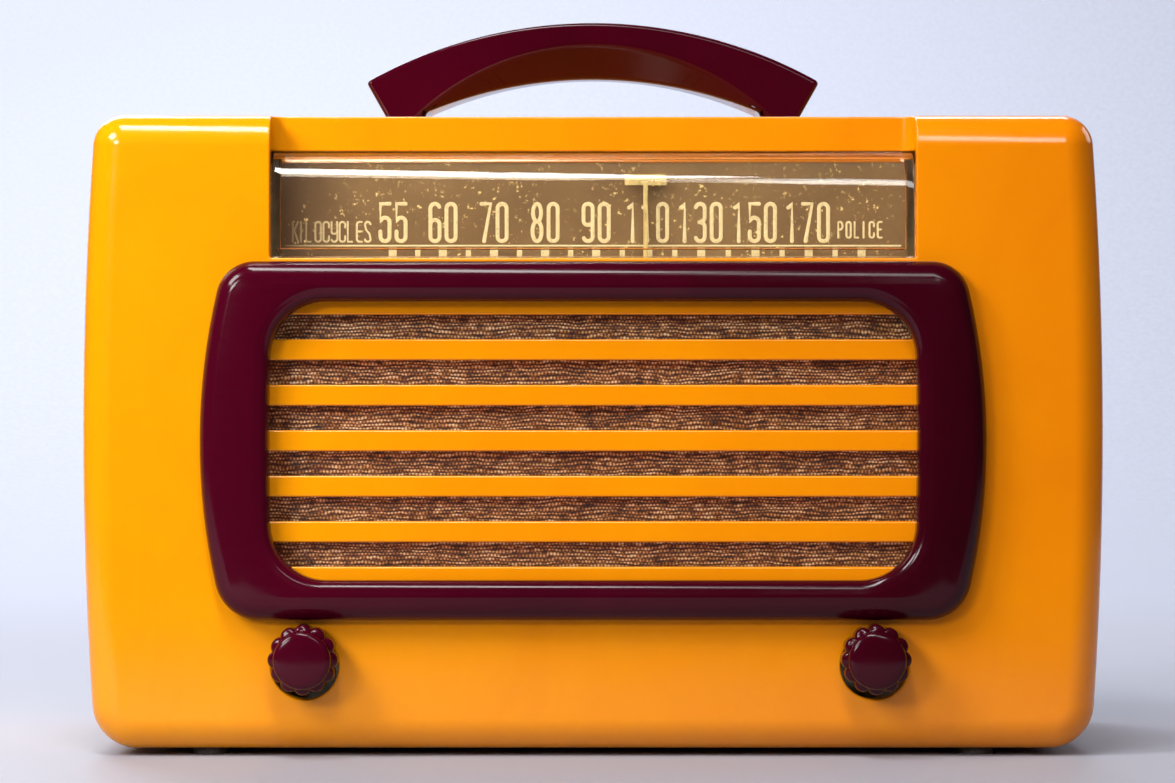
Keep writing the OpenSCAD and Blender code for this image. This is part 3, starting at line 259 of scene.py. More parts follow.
# %% A table of the inner finishes
WORKED = {
    # slot: name, dark, light, metallic, roughness low and high, grain mm, stretch, bump mm, IOR
    "zinc_steel": ("zinc_plated_steel", "#8d8f8e", "#c2c2bb", 1.0, 0.28, 0.5, 2.5, (1, 1, 1), 0.01, 1.5),
    "plated_sheet": ("cadmium_plated_sheet", "#8f907f", "#b9b8a4", 1.0, 0.3, 0.55, 9, (1, 1, 1), 0.01, 1.5),
    "turned_brass": ("turned_brass", "#8a6a2c", "#d0a954", 1.0, 0.2, 0.4, 0.5, (1, 0.2, 1), 0.004, 1.5),
    "bare_aluminium": ("rolled_aluminium", "#a3a4a2", "#cfcfca", 1.0, 0.3, 0.5, 1.2, (1, 1, 0.1), 0.006, 1.5),
    "pressed_fibre": ("pressed_fibre", "#3a2416", "#5e3c22", 0.0, 0.55, 0.75, 0.8, (1, 1, 1), 0.02, 1.5),
    "pressed_board": ("hard_pressed_board", "#3b2415", "#68452a", 0.0, 0.6, 0.85, 1.1, (1, 1, 1), 0.05, 1.5),
    "foot_rubber": ("aged_rubber", "#2a2320", "#4a4038", 0.0, 0.7, 0.9, 0.9, (1, 1, 1), 0.03, 1.52),
    "dial_twine": ("waxed_braid", "#a38d5f", "#d9c899", 0.0, 0.6, 0.8, 0.35, (1, 1, 1), 0.05, 1.5),
    "black_enamel": ("baked_black_enamel", "#191b1d", "#2b2d2f", 0.0, 0.25, 0.4, 3, (1, 1, 1), 0.01, 1.55),
    "treated_cloth": ("doped_cloth", "#221a14", "#3f3226", 0.0, 0.6, 0.8, 0.5, (1, 1, 1), 0.05, 1.5),
    "cone_paper": ("felted_paper_pulp", "#3a322b", "#5b5046", 0.0, 0.8, 0.95, 0.7, (1, 1, 1), 0.06, 1.5),
    "copper_wire": ("enamelled_copper", "#7a3413", "#b9612e", 0.9, 0.25, 0.4, 0.35, (0.05, 1, 1), 0.03, 1.5),
    "magnet_iron": ("ground_cast_iron", "#3b3b3e", "#66666a", 0.9, 0.4, 0.6, 0.9, (1, 1, 1), 0.03, 1.5),
    "core_steel": (
        "varnished_laminations", "#3b3128", "#5f564c", 0.7, 0.35, 0.6, 0.6, (0.1, 1, 0.1), 0.05, 1.5),
    "waxed_card": ("waxed_card", "#8c7138", "#bfa263", 0.0, 0.4, 0.6, 2, (1, 1, 1), 0.03, 1.45),
    "black_phenolic": (
        "moulded_black_phenolic", "#100d0b", "#211b17", 0.0, 0.2, 0.4, 4, (1, 1, 1), 0.01, 1.6),
    "carbonised_metal": ("carbonised_nickel", "#1c1c1e", "#39393b", 0.6, 0.6, 0.8, 0.5, (1, 1, 1), 0.02, 1.5),
}


def worked(name, dark, light, metallic, low, high, size_mm, stretch, depth_mm, ior):
    """A finish with mottled colour, uneven roughness and a bump at the grain's real size."""
    settings = {"Metallic": metallic} if metallic else {"IOR": ior}
    material, tree, shader, where = new_material(name, settings)
    fine = grain(tree, where, size_mm, stretch, detail=4, rough=0.6)
    surface(tree, shader, ramp(tree, fine, [(0.32, dark), (0.68, light)]), spread(tree, fine, high, low),
            bump(tree, fine, depth_mm))
    return material


finishes = {slot: worked(*row) for slot, row in WORKED.items()}
finishes["cast_yellow"] = cast_yellow
finishes["cast_maroon"] = cast_maroon
print("finishes so far", len(finishes))

# %% [markdown]
# Glass is a finish of its own kind. A real shadow of clear glass is pale, but a renderer that follows only
# straight shadow rays draws it black. So for shadow rays alone the shader is swapped for a transparent one.


# %% Clear lens and glass bulbs
def clear(name, tint, ior, rough_low, rough_high, shade):
    """Glass or clear moulded plastic that lets lamps through to what is behind it."""
    material, tree, shader, where = new_material(name, {
        "Transmission Weight": 1.0, "IOR": ior, "Base Color": linear(tint)})
    wear = grain(tree, where, 6, stretch=(0.5, 1, 1), detail=6, rough=0.7)
    tree.links.new(spread(tree, wear, rough_low, rough_high, 0.45, 0.8), shader.inputs["Roughness"])
    pull = grain(tree, where, 26, stretch=(0.4, 1, 1), detail=1)
    tree.links.new(bump(tree, pull, 0.04, 0.3), shader.inputs["Normal"])
    path = add(tree, "ShaderNodeLightPath")
    through = add(tree, "ShaderNodeBsdfTransparent", {"Color": linear(shade)})
    show_instead(tree, path.outputs["Is Shadow Ray"], shader, through)
    return material


finishes["clear_lens"] = clear("clear_cellulose_acetate", "#fff6e2", 1.49, 0.02, 0.09, "#f4ead6")
finishes["tube_glass"] = clear("blown_tube_glass", "#f2f5f2", 1.5, 0.02, 0.06, "#e8ece8")
finishes["lamp_glass"] = clear("blown_lamp_glass", "#fff3d0", 1.5, 0.02, 0.05, "#f3e7c6")
print("clear finishes", [finishes[s].name for s in ("clear_lens", "tube_glass", "lamp_glass")])

# %% [markdown]
# ## The dial plate
# A sheet of metal, sprayed bronze brown and printed in cream. Its left end is darker with painted shade,
# where the recess wall shades it, and flakes of paint have come off in specks a few tenths of a millimetre
# across.

# %% Bronze dial paint and cream print
material, tree, shader, where = new_material("aged_bronze_dial_paint_with_painted_shade", {"IOR": 1.5, "Metallic": 0.12})
axes = split(tree, where)
# Painted shade: the plate darkens towards its left end, by the recess's side wall.
painted_left_shade = spread(tree, axes["X"], 1.0, 0.0, -0.092, -0.066)
cloud = ramp(tree, grain(tree, where, 30, detail=5), [(0.3, "#5a4836"), (0.55, "#67543f"), (0.8, "#74624c")])
shaded_cloud = mix_colours(tree, painted_left_shade, cloud, linear("#463225"))
flaking = grain(tree, where, 1.5, detail=8, rough=0.72)
patches = grain(tree, where, 17, detail=2)
speck = maths(tree, "MULTIPLY", spread(tree, flaking, 0, 1, 0.6, 0.63),
              spread(tree, patches, 0, 1, 0.42, 0.56))
painted = mix_colours(tree, speck, shaded_cloud, linear("#d8cba0"))
surface(tree, shader, painted, spread(tree, cloud, 0.42, 0.58, 0.1, 0.4), bump(tree, flaking, 0.02, 0.4))
finishes["dial_paint"] = material

material, tree, shader, where = new_material("cream_screen_print", {"IOR": 1.5})
axes = split(tree, where)
# Painted shade: the print darkens into the plate's brown at the left end, in the shade of the recess's side
# wall.
print_painted_shade = spread(tree, axes["X"], 1.0, 0.0, -0.090, -0.072)
rubbed = grain(tree, where, 0.9, detail=6, rough=0.7)
cream = ramp(tree, rubbed, [(0.25, "#878371"), (0.45, "#b9b5a0"), (0.8, "#c6c2b0")])
printed = mix_colours(tree, print_painted_shade, cream, linear("#5d4634"))
surface(tree, shader, printed, spread(tree, rubbed, 0.65, 0.45), bump(tree, rubbed, 0.01, 0.5))
finishes["cream_print"] = material

finishes["cream_paint"] = worked(
    "satin_cream_enamel", "#8d8460", "#b9ae86", 0.0, 0.35, 0.55, 1.4, (1, 1, 0.4), 0.008, 1.5)
print("dial finishes ready")

# %% [markdown]
# ## Grille cloth
# Speaker cloth of this kind is a plain weave of brown cotton with a flat metallised thread. The bright
# threads run across at 1.1 mm, and each dips under a warp thread about every 1 mm, so it shows as a row
# of bright beads. The rows wander a little. Its glitter is painted into the colour as glints and swirls of
# sheen.

# %% Metallised weave
WEFT_MM = 1.1
WARP_MM = 1.0
material, tree, shader, where = new_material("metallised_speaker_cloth", {
    "Metallic": 0.1, "Specular IOR Level": 0.7})
wander = grain(tree, where, 14, stretch=(1, 1, 2.5), detail=3)
axes = split(tree, where)
lifted = maths(tree, "MULTIPLY_ADD", wander, 3.4 * MM, axes["Z"])
row = maths(tree, "MULTIPLY", lifted, 2 / (WEFT_MM * MM))
row_part = maths(tree, "PINGPONG", row, 1.0)
half_row = maths(tree, "MULTIPLY", row, 0.5)
row_number = maths(tree, "FLOOR", half_row)
along = maths(tree, "MULTIPLY_ADD", axes["X"], 2 / (WARP_MM * MM), row_number)
bead_part = maths(tree, "PINGPONG", along, 1.0)
# The thread's height also sets the colour: darker in the dips, partly the brown cotton and partly painted
# shade.
thread = maths(tree, "MULTIPLY_ADD", row_part, 0.75, 0.25)
beads = maths(tree, "MULTIPLY_ADD", bead_part, 0.65, 0.35)
height = maths(tree, "MULTIPLY", thread, beads)
dash = vector(tree, X=maths(tree, "MULTIPLY", axes["X"], 0.25), Z=lifted)
# Painted glints and swirls of painted sheen, multiplied into the colour; the glints also lower the roughness.
painted_glint = spread(tree, grain(tree, dash, 0.6, detail=2, rough=0.6), 0.15, 1.0)
painted_sheen_swirl = spread(tree, grain(tree, where, 9, stretch=(1, 1, 2), detail=3, warp=1.5), 0.45, 1.15)
painted_glitter = maths(tree, "MULTIPLY", painted_glint, painted_sheen_swirl)
shine = maths(tree, "MULTIPLY", height, painted_glitter)
weave_colour_with_painted_glints = ramp(tree, shine, [(0.05, "#220e04"), (0.16, "#7d481a"), (0.32, "#d0a058"), (0.5, "#fff6d2")])
surface(tree, shader, weave_colour_with_painted_glints, spread(tree, painted_glint, 0.5, 0.28), bump(tree, height, 0.12, 0.9))
finishes["grille_weave"] = material
print("weave", WEFT_MM, "by", WARP_MM, "mm")

# %% [markdown]
# Each node of the frame names its slot in the record, and takes that slot's finish.

# %% Finishes on the frame
for part in frame["record"]["subparts"]:
    dress(nodes[part["node"]], finishes[part["material_slot"]])

# %% [markdown]
# ## Outlines
# Seen from the front, the cabinet and its bezel have flat tops and bottoms, sides with a long bow, and
# rounded corners that run into the bow without a kink. An outline is a loop of (x, z) points. Moving it
# inwards keeps the same centres and shortens the radii, so the same point of each loop lies on the same ray.


# %% Bowed outlines
def arc_points(cx, cz, r, start, end, count):
    """Points on an arc, both ends included, angles in radians."""
    return [(cx + r * math.cos(start + (end - start) * i / count),
             cz + r * math.sin(start + (end - start) * i / count)) for i in range(count + 1)]


def bowed_outline(half_w, mid_z, bow_r, low_z, high_z, low_r, high_r):
    """A closed loop in millimetres, counter-clockwise as seen from the front."""
    cx = half_w - bow_r
    low_x = cx + math.sqrt((bow_r - low_r) ** 2 - (low_z + low_r - mid_z) ** 2)
    high_x = cx + math.sqrt((bow_r - high_r) ** 2 - (high_z - high_r - mid_z) ** 2)
    low_a = math.atan2(low_z + low_r - mid_z, low_x - cx)
    high_a = math.atan2(high_z - high_r - mid_z, high_x - cx)
    half = arc_points(low_x, low_z + low_r, low_r, -math.pi / 2, low_a, 14)
    half += arc_points(cx, mid_z, bow_r, low_a, high_a, 16)[1:]
    half += arc_points(high_x, high_z - high_r, high_r, high_a, math.pi / 2, 14)[1:]
    return half + [(-x, z) for x, z in reversed(half)]


def outline_rule(half_w, mid_z, bow_r, low_z, high_z, low_r, high_r):
    """A function that gives the outline's loop at any inset."""
    def loop_at(inset):
        return bowed_outline(half_w - inset, mid_z, bow_r - inset, low_z + inset, high_z - inset,
                             low_r - inset, high_r - inset)
    return loop_at


TOP = 183
GRILLE_Z = 90
cabinet_loop = outline_rule(half_w=146, mid_z=92.5, bow_r=1190, low_z=2, high_z=TOP, low_r=13, high_r=9)
bezel_loop = outline_rule(half_w=111.7, mid_z=GRILLE_Z, bow_r=187, low_z=39, high_z=141, low_r=13, high_r=11)
opening_loop = outline_rule(
    half_w=92, mid_z=GRILLE_Z, bow_r=800, low_z=50.5, high_z=129.5, low_r=16, high_r=16)
print("points in an outline", len(cabinet_loop(0)))

# %% [markdown]
# ## The loft
# The cabinet skin and the bezel follow one rule: a section is carried round an outline. The bezel has two
# outlines, outer and inner, and its D-shaped section reaches from one to the other. A Geometry Nodes tree
# does both. It makes a grid as long as the outline and as wide as the section, looks up the outline point
# and its inward direction for each grid point, and puts the point at the section's inset and depth.
# The outlines and sections are small helper meshes; a section point holds inset, depth and which outline.


# %% A Geometry Nodes loft
def nodes_tree(name, sockets):
    """An empty Geometry Nodes tree with named inputs. Returns it, its inputs' sockets and its output node."""
    tree = bpy.data.node_groups.new(name, "GeometryNodeTree")
    for socket_name, kind in sockets:
        tree.interface.new_socket(name=socket_name, in_out="INPUT", socket_type="NodeSocket" + kind)
    tree.interface.new_socket(name="Geometry", in_out="OUTPUT", socket_type="NodeSocketGeometry")
    return tree, tree.nodes.new("NodeGroupInput").outputs, tree.nodes.new("NodeGroupOutput")


def finish_tree(tree, geometry, material, out):
    """Ends a tree in Realize Instances and Set Material."""
    real = add(tree, "GeometryNodeRealizeInstances", {"Geometry": geometry})
    done = add(tree, "GeometryNodeSetMaterial", {"Geometry": real.outputs[0], "Material": material})
    tree.links.new(done.outputs[0], out.inputs["Geometry"])


def shape_of(tree, source):
    """The geometry of an object that an input names."""
    return add(tree, "GeometryNodeObjectInfo", {"Object": source}).outputs["Geometry"]


def sample(tree, geometry, value, index):
    """A vector read at one point of another geometry."""
    return add(tree, "GeometryNodeSampleIndex", {"Geometry": geometry, "Value": value, "Index": index},
               data_type="FLOAT_VECTOR", domain="POINT").outputs[0]


def section_grid(tree, around, section):
    """A grid, one column longer than around and as wide as the section, with each point's column and line."""
    across = add(tree, "GeometryNodeAttributeDomainSize", {"Geometry": section}).outputs["Point Count"]
    closed = maths(tree, "ADD", around, 1.0)
    grid = add(tree, "GeometryNodeMeshGrid", {"Vertices X": closed, "Vertices Y": across})
    index = add(tree, "GeometryNodeInputIndex").outputs[0]
    column = maths(tree, "FLOOR", maths(tree, "DIVIDE", index, across))
    return grid, column, maths(tree, "MODULO", index, across)


def move_to(tree, geometry, place):
    return add(tree, "GeometryNodeSetPosition", {"Geometry": geometry, "Position": place}).outputs[0]


def move_and_weld(tree, grid, place, given):
    """Moves the grid's points to their places and welds the seam."""
    moved = move_to(tree, grid.outputs["Mesh"], place)
    return add(tree, "GeometryNodeMergeByDistance", {
        "Geometry": moved, "Distance": given["Weld Distance"]}).outputs[0]


def loft_tree():
    tree, given, out = nodes_tree("outline_loft", [
        ("Outer Outline", "Object"), ("Inner Outline", "Object"), ("Section", "Object"),
        ("Weld Distance", "Float"), ("Material", "Material")])
    outer = shape_of(tree, given["Outer Outline"])
    inner = shape_of(tree, given["Inner Outline"])
    section = shape_of(tree, given["Section"])
    around = add(tree, "GeometryNodeAttributeDomainSize", {"Geometry": outer}).outputs["Point Count"]
    grid, column, line = section_grid(tree, around, section)
    column = maths(tree, "MODULO", column, around)
    place = add(tree, "GeometryNodeInputPosition").outputs[0]
    inward = add(tree, "GeometryNodeInputNamedAttribute", {"Name": "inward"}, data_type="FLOAT_VECTOR")
    point = split(tree, sample(tree, section, place, line))
    sides = []
    for outline in (outer, inner):
        edge = sample(tree, outline, place, column)
        way = sample(tree, outline, inward.outputs[0], column)
        moved = add(tree, "ShaderNodeVectorMath", {0: way, "Scale": point["X"]}, operation="SCALE")
        sides.append(shift(tree, edge, moved.outputs[0]))
    mixed = add(tree, "ShaderNodeMix", {0: point["Z"], 4: sides[0], 5: sides[1]},
                data_type="VECTOR", clamp_factor=False)
    deep = vector(tree, Y=point["Y"])
    placed = move_and_weld(tree, grid, shift(tree, mixed.outputs[1], deep), given)
    finish_tree(tree, placed, given["Material"], out)
    return tree


loft = loft_tree()
print("loft tree nodes", len(loft.nodes))

# %% [markdown]
# A tree runs as a modifier on a new object. Its inputs are set by each socket's identifier, and the result
# is copied out as a plain mesh, so nothing live is left on the piece.


# %% Running a tree, helper meshes, closing and cleaning
def grow(name, tree, inputs):
    """Runs a Geometry Nodes tree and returns its result as an object with a plain mesh."""
    obj = mesh_object(name, [], [])
    modifier = obj.modifiers.new("tree", "NODES")
    modifier.node_group = tree
    for item in tree.interface.items_tree:
        if item.in_out == "INPUT" and item.name in inputs:
            modifier[item.identifier] = inputs[item.name]
    bpy.context.view_layer.update()
    result = obj.evaluated_get(bpy.context.evaluated_depsgraph_get())
    mesh = bpy.data.meshes.new_from_object(result)
    obj.modifiers.clear()
    obj.data = mesh
    mesh.name = name
    return obj


def outline_object(name, loop_at):
    """A helper mesh of an outline's points, each with its inward direction for one metre of inset."""
    here, inside = loop_at(0), loop_at(1)
    obj = mesh_object(name, [(x * MM, FRONT_Y, z * MM) for x, z in here], [])
    inward = obj.data.attributes.new("inward", "FLOAT_VECTOR", "POINT")
    for item, a, b in zip(inward.data, here, inside):
        item.vector = (b[0] - a[0], 0, b[1] - a[1])
    return obj


def section_object(name, points):
    """A helper mesh of section points: inset, depth and outline, 0 for outer and 1 for inner."""
    return mesh_object(name, [(inset * MM, depth * MM, which) for inset, depth, which in points], [])


def tidy_mesh(obj, cap=False, merge_mm=0.002):
    """Welds doubles, closes open ends if asked, and turns every face outwards."""
    work = bmesh.new()
    work.from_mesh(obj.data)
    bmesh.ops.remove_doubles(work, verts=work.verts, dist=merge_mm * MM)
    if cap:
        bmesh.ops.holes_fill(work, edges=work.edges, sides=0)
    bmesh.ops.recalc_face_normals(work, faces=work.faces)
    work.to_mesh(obj.data)
    work.free()


def smooth(obj, angle):
    """Shades an object smooth, but for edges sharper than an angle in degrees."""
    obj.data.shade_smooth()
    obj.data.set_sharp_from_angle(angle=math.radians(angle))


def drop(*objects):
    """Removes helpers that have done their work."""
    for obj in objects:
        bpy.data.objects.remove(obj)


def quarter(inset_a, depth_a, inset_b, depth_b, which, count=12, flip=False):
    """Section points on a quarter ellipse that leaves a along the depth (or along the inset if flip)."""
    points = []
    for i in range(count + 1):
        t = math.pi / 2 * i / count
        lead, lag = math.sin(t), 1 - math.cos(t)
        u, v = (lead, lag) if flip else (lag, lead)
        points.append((inset_a + (inset_b - inset_a) * u, depth_a + (depth_b - depth_a) * v, which))
    return points


print("helpers ready")

# %% [markdown]
# ## The cabinet
# The mould gave one thick shell: front, sides, top and bottom in one piece, with a front edge rounded to
# 9 mm. The skin comes from the loft. The hollow, the dial recess, the grille slots and the holes are cut
# with booleans, as the factory milled them after casting, and then every cut edge is eased by half a
# millimetre, as the polishing wheel does.


# %% Cutting tools
def closed_tube(name, verts, count):
    """A closed mesh from two rings of count points."""
    faces = [tuple(range(count)), tuple(range(2 * count - 1, count - 1, -1))]
    faces += [(i, (i + 1) % count, count + (i + 1) % count, count + i) for i in range(count)]
    obj = mesh_object(name, verts, faces)
    tidy_mesh(obj)
    return obj


def prism(name, loop, low, high, axis="Y"):
    """A closed prism. The loop is in (x, z) between two depths, or (depth, z) between two x, in mm."""
    verts = []
    for level in (low, high):
        for a, b in loop:
            if axis == "Y":
                verts.append((a * MM, FRONT_Y + level * MM, b * MM))
            elif axis == "X":
                verts.append((level * MM, FRONT_Y + a * MM, b * MM))
            else:
                verts.append((a * MM, FRONT_Y + b * MM, level * MM))
    return closed_tube(name, verts, len(loop))


def round_loop(x, z, r, count=64):
    return [(x + r * math.cos(2 * math.pi * i / count), z + r * math.sin(2 * math.pi * i / count))
            for i in range(count)]


def box_loop(x0, x1, z0, z1):
    return [(x0, z0), (x1, z0), (x1, z1), (x0, z1)]


def apply_modifier(obj, kind, **settings):
    """Runs one modifier and keeps only its result."""
    modifier = obj.modifiers.new(kind.lower(), kind)
    for name, value in settings.items():
        setattr(modifier, name, value)
    result = obj.evaluated_get(bpy.context.evaluated_depsgraph_get())
    mesh = bpy.data.meshes.new_from_object(result)
    obj.modifiers.clear()
    obj.data = mesh


def carve(obj, *tools, operation="DIFFERENCE"):
    """Cuts each tool from obj, or joins it to obj, and removes the tool."""
    for tool in tools:
        apply_modifier(obj, "BOOLEAN", operation=operation, object=tool, solver="EXACT")
        drop(tool)


def ease(obj, width_mm, segments=2, angle=32):
    """Rounds the sharp edges a little, and shades the rest smooth."""
    tidy_mesh(obj, merge_mm=0.01)
    apply_modifier(obj, "BEVEL", width=width_mm * MM, segments=segments, limit_method="ANGLE",
                   angle_limit=math.radians(angle), use_clamp_overlap=False, miter_outer="MITER_ARC")
    tidy_mesh(obj, merge_mm=0.005)
    obj.data.shade_smooth()
    apply_modifier(obj, "WEIGHTED_NORMAL", keep_sharp=False, weight=80)


print("cutting tools ready")

# %% Cabinet skin
BACK = 148
FRONT_WALL_END = 9
SLOT_R, SLOT_PITCH, SLOT_END_X = 3.5, 12.95, 91.5
KNOB_Z = 28.2
KNOB_X = (-82, 80)
POST_X, POST_Z = 129, (18, 162)
FOOT_SCREW_X, FOOT_SCREW_DEPTHS = 120.5, (40, 114)
skin = section_object("skin_section", [(2, BACK, 0)] + quarter(1, BACK, 0, BACK - 1, 0, 3, flip=True)
                      + quarter(0, 9, 9, 0, 0, 16))
shell_outline = outline_object("shell_outline", cabinet_loop)
cabinet = grow("cabinet_shell", loft, {
    "Outer Outline": shell_outline, "Inner Outline": shell_outline, "Section": skin,
    "Weld Distance": 0.01 * MM, "Material": cast_yellow})
tidy_mesh(cabinet, cap=True)
drop(skin, shell_outline)
print("skin", len(cabinet.data.polygons), "faces")

# %% Cabinet hollow and posts
hollow = bowed_outline(139, 92.5, 1183, 9, 173, 6, 2)
carve(cabinet, prism("hollow", hollow, 7, BACK + 5))
for sx in (-1, 1):
    for z, front in zip(POST_Z, (131.3, 122.5)):
        carve(cabinet, prism("post", round_loop(sx * POST_X, z, 5, 40), front, 142.4), operation="UNION")
        low_x, high_x = sorted((sx * POST_X, sx * 142))
        rib = box_loop(low_x, high_x, z - 2, z + 2)
        carve(cabinet, prism("rib", rib, front, 142.4), operation="UNION")
        carve(cabinet, prism("post_hole", round_loop(sx * POST_X, z, 1.53, 24), 131.5, 145))
print("hollow", len(cabinet.data.polygons), "faces")

# %% Cabinet recess, slots and holes
carve(cabinet, prism("window", box_loop(-92, 92, 142, 190), -5, 8))
lip_y = 13
strip = [(-92, -5), (92, -5)] + arc_points(88, lip_y - 4, 4, 0, math.pi / 2, 12)
strip += arc_points(-88, lip_y - 4, 4, math.pi / 2, math.pi, 12)
carve(cabinet, prism("strip", strip, 173, 190, axis="Z"))
for i in range(6):
    z = GRILLE_Z + SLOT_PITCH * (i - 2.5)
    slot = arc_points(SLOT_END_X, z, SLOT_R, -math.pi / 2, math.pi / 2, 16)
    slot += arc_points(-SLOT_END_X, z, SLOT_R, math.pi / 2, 3 * math.pi / 2, 16)
    carve(cabinet, prism("slot", slot, -5, FRONT_WALL_END))
for x in KNOB_X:
    carve(cabinet, prism("knob_hole", round_loop(x, 26, 9.6, 96), -5, FRONT_WALL_END))
for sx in (-1, 1):
    for depth in FOOT_SCREW_DEPTHS:
        well = [(x, depth + y) for x, y in round_loop(sx * FOOT_SCREW_X, 0, 4.3, 40)]
        carve(cabinet, prism("well", well, 0, 5, axis="Z"))
        bore = [(x, depth + y) for x, y in round_loop(sx * FOOT_SCREW_X, 0, 2.3, 24)]
        carve(cabinet, prism("bore", bore, 0, 12, axis="Z"))
ease(cabinet, 0.55)
dress(cabinet, cast_yellow)
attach(cabinet, "radio")
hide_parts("cabinet")
print("cabinet", len(cabinet.data.polygons), "faces")

# %% [markdown]
# ## The bezel
# The maroon grille frame is a ring with a D-shaped section: its outer edge is rounded to about 5 mm, the
# face is slightly crowned, and the inner edge flares into the opening. The loft carries the section from
# the outer outline to the opening's outline.

# %% Grille bezel
bezel_section = section_object("bezel_section", (
    [(0.0, 0.0, 0)] + quarter(0, -2.2, 5.4, -7.7, 0, 12) + [(6.5, -7.95, 0)]
    + [(-4.6, -8.0, 1), (-3.6, -7.85, 1)] + quarter(-3.2, -7.7, 0, -4.2, 1, 8, flip=True)
    + [(0.0, 0.0, 1), (0.0, 0.0, 0)]))
outer_outline = outline_object("outer_outline", bezel_loop)
inner_outline = outline_object("inner_outline", opening_loop)
bezel = grow("bezel_ring", loft, {
    "Outer Outline": outer_outline, "Inner Outline": inner_outline, "Section": bezel_section,
    "Weld Distance": 0.01 * MM, "Material": cast_maroon})
tidy_mesh(bezel)
smooth(bezel, 50)
drop(bezel_section, outer_outline, inner_outline)
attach(bezel, "radio")
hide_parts("grille_bezel")
print("bezel", len(bezel.data.polygons), "faces")

# %% [markdown]
# ## The handle
# The handle was sawn from a thick slab of resin: two arcs of different radius make it thicker in the
# middle, its feet stand flat on the cabinet, and the lower edges are scooped away in front and behind for
# the fingers. It is a flat outline with cone cuts, so mesh code and two booleans are the plain way.

# %% Handle
HANDLE_TOP, HANDLE_THICK, OUTER_R, INNER_R = 214.3, 16.5, 138, 125
HANDLE_FRONT, HANDLE_BACK, FOOT_IN = 61, 87, 50
outer_centre, inner_centre = HANDLE_TOP - OUTER_R, HANDLE_TOP - HANDLE_THICK - INNER_R
span = math.radians(29.4)
foot_outer = (TOP - outer_centre) * math.tan(span)
inner_span = math.asin(FOOT_IN / INNER_R)
handle_loop = [(-FOOT_IN, TOP), (-foot_outer, TOP)]
handle_loop += arc_points(0, outer_centre, OUTER_R, math.pi / 2 + span, math.pi / 2 - span, 90)
handle_loop += [(foot_outer, TOP), (FOOT_IN, TOP)]
handle_loop += arc_points(0, inner_centre, INNER_R, math.pi / 2 - inner_span, math.pi / 2 + inner_span, 90)
handle = prism("handle_bow", handle_loop, HANDLE_FRONT, HANDLE_BACK)


def finger_scoop(face_depth, deep_depth):
    """A cone frustum between the handle's face and the bottom of the scoop."""
    centre_z, count = 207.4 - 75, 256
    wide, narrow = 75.0, 65.4
    slope = (wide - narrow) / abs(deep_depth - face_depth)
    start = face_depth - (1 if deep_depth > face_depth else -1)
    rings = [(start, wide + slope), (deep_depth, narrow)]
    verts = [(x * MM, FRONT_Y + depth * MM, z * MM)
             for depth, r in rings for x, z in round_loop(0, centre_z, r, count)]
    return closed_tube("scoop", verts, count)


carve(handle, finger_scoop(HANDLE_FRONT, 69), finger_scoop(HANDLE_BACK, 79))
ease(handle, 1.3, segments=4, angle=28)
dress(handle, cast_maroon)
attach(handle, "radio")
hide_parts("handle")
print("handle", len(handle.data.polygons), "faces")

# %% [markdown]
# ## The knobs
# Each knob is a turned cap on a lobed skirt. The rule is simple: a profile of radius and depth goes round
# the shaft, and the skirt's radius follows twelve lobes. A Geometry Nodes tree has the number, the ring and
# the radius of the lobes as inputs. Profile points hold radius, depth and how much of the lobing they take.


# %% A Geometry Nodes knob
def knob_tree():
    tree, given, out = nodes_tree("lobed_knob", [
        ("Profile", "Object"), ("Centre", "Vector"), ("Around", "Int"), ("Lobes", "Int"),
        ("Lobe Ring", "Float"), ("Lobe Radius", "Float"), ("Weld Distance", "Float"),
        ("Material", "Material")])
    profile = shape_of(tree, given["Profile"])
    grid, column, line = section_grid(tree, given["Around"], profile)
    turn = maths(tree, "DIVIDE", column, given["Around"])
    angle = maths(tree, "MULTIPLY", turn, 2 * math.pi)
    step = maths(tree, "MULTIPLY", turn, given["Lobes"])
    step = maths(tree, "ADD", step, 0.5)
    step = maths(tree, "FRACT", step)
    step = maths(tree, "SUBTRACT", step, 0.5)
    step = maths(tree, "DIVIDE", step, given["Lobes"])
    phase = maths(tree, "MULTIPLY", step, 2 * math.pi)
    side = maths(tree, "SINE", phase)
    side = maths(tree, "MULTIPLY", side, given["Lobe Ring"])
    side = maths(tree, "POWER", side, 2.0)
    lobe = maths(tree, "POWER", given["Lobe Radius"], 2.0)
    rest = maths(tree, "SUBTRACT", lobe, side)
    rest = maths(tree, "SQRT", rest)
    near = maths(tree, "COSINE", phase)
    reach = maths(tree, "MULTIPLY_ADD", near, given["Lobe Ring"], rest)
    full = maths(tree, "ADD", given["Lobe Ring"], given["Lobe Radius"])
    share = maths(tree, "DIVIDE", reach, full)
    place = add(tree, "GeometryNodeInputPosition").outputs[0]
    point = split(tree, sample(tree, profile, place, line))
    scale = add(tree, "ShaderNodeMix", {0: point["Z"], 2: 1.0, 3: share}, data_type="FLOAT")
    radius = maths(tree, "MULTIPLY", point["X"], scale.outputs[0])
    cos = maths(tree, "COSINE", angle)
    sin = maths(tree, "SINE", angle)
    x = maths(tree, "MULTIPLY", radius, cos)
    z = maths(tree, "MULTIPLY", radius, sin)
    spot = vector(tree, X=x, Y=point["Y"], Z=z)
    placed = move_and_weld(tree, grid, shift(tree, spot, given["Centre"]), given)
    finish_tree(tree, placed, given["Material"], out)
    return tree


knob_rule = knob_tree()
print("knob tree nodes", len(knob_rule.nodes))

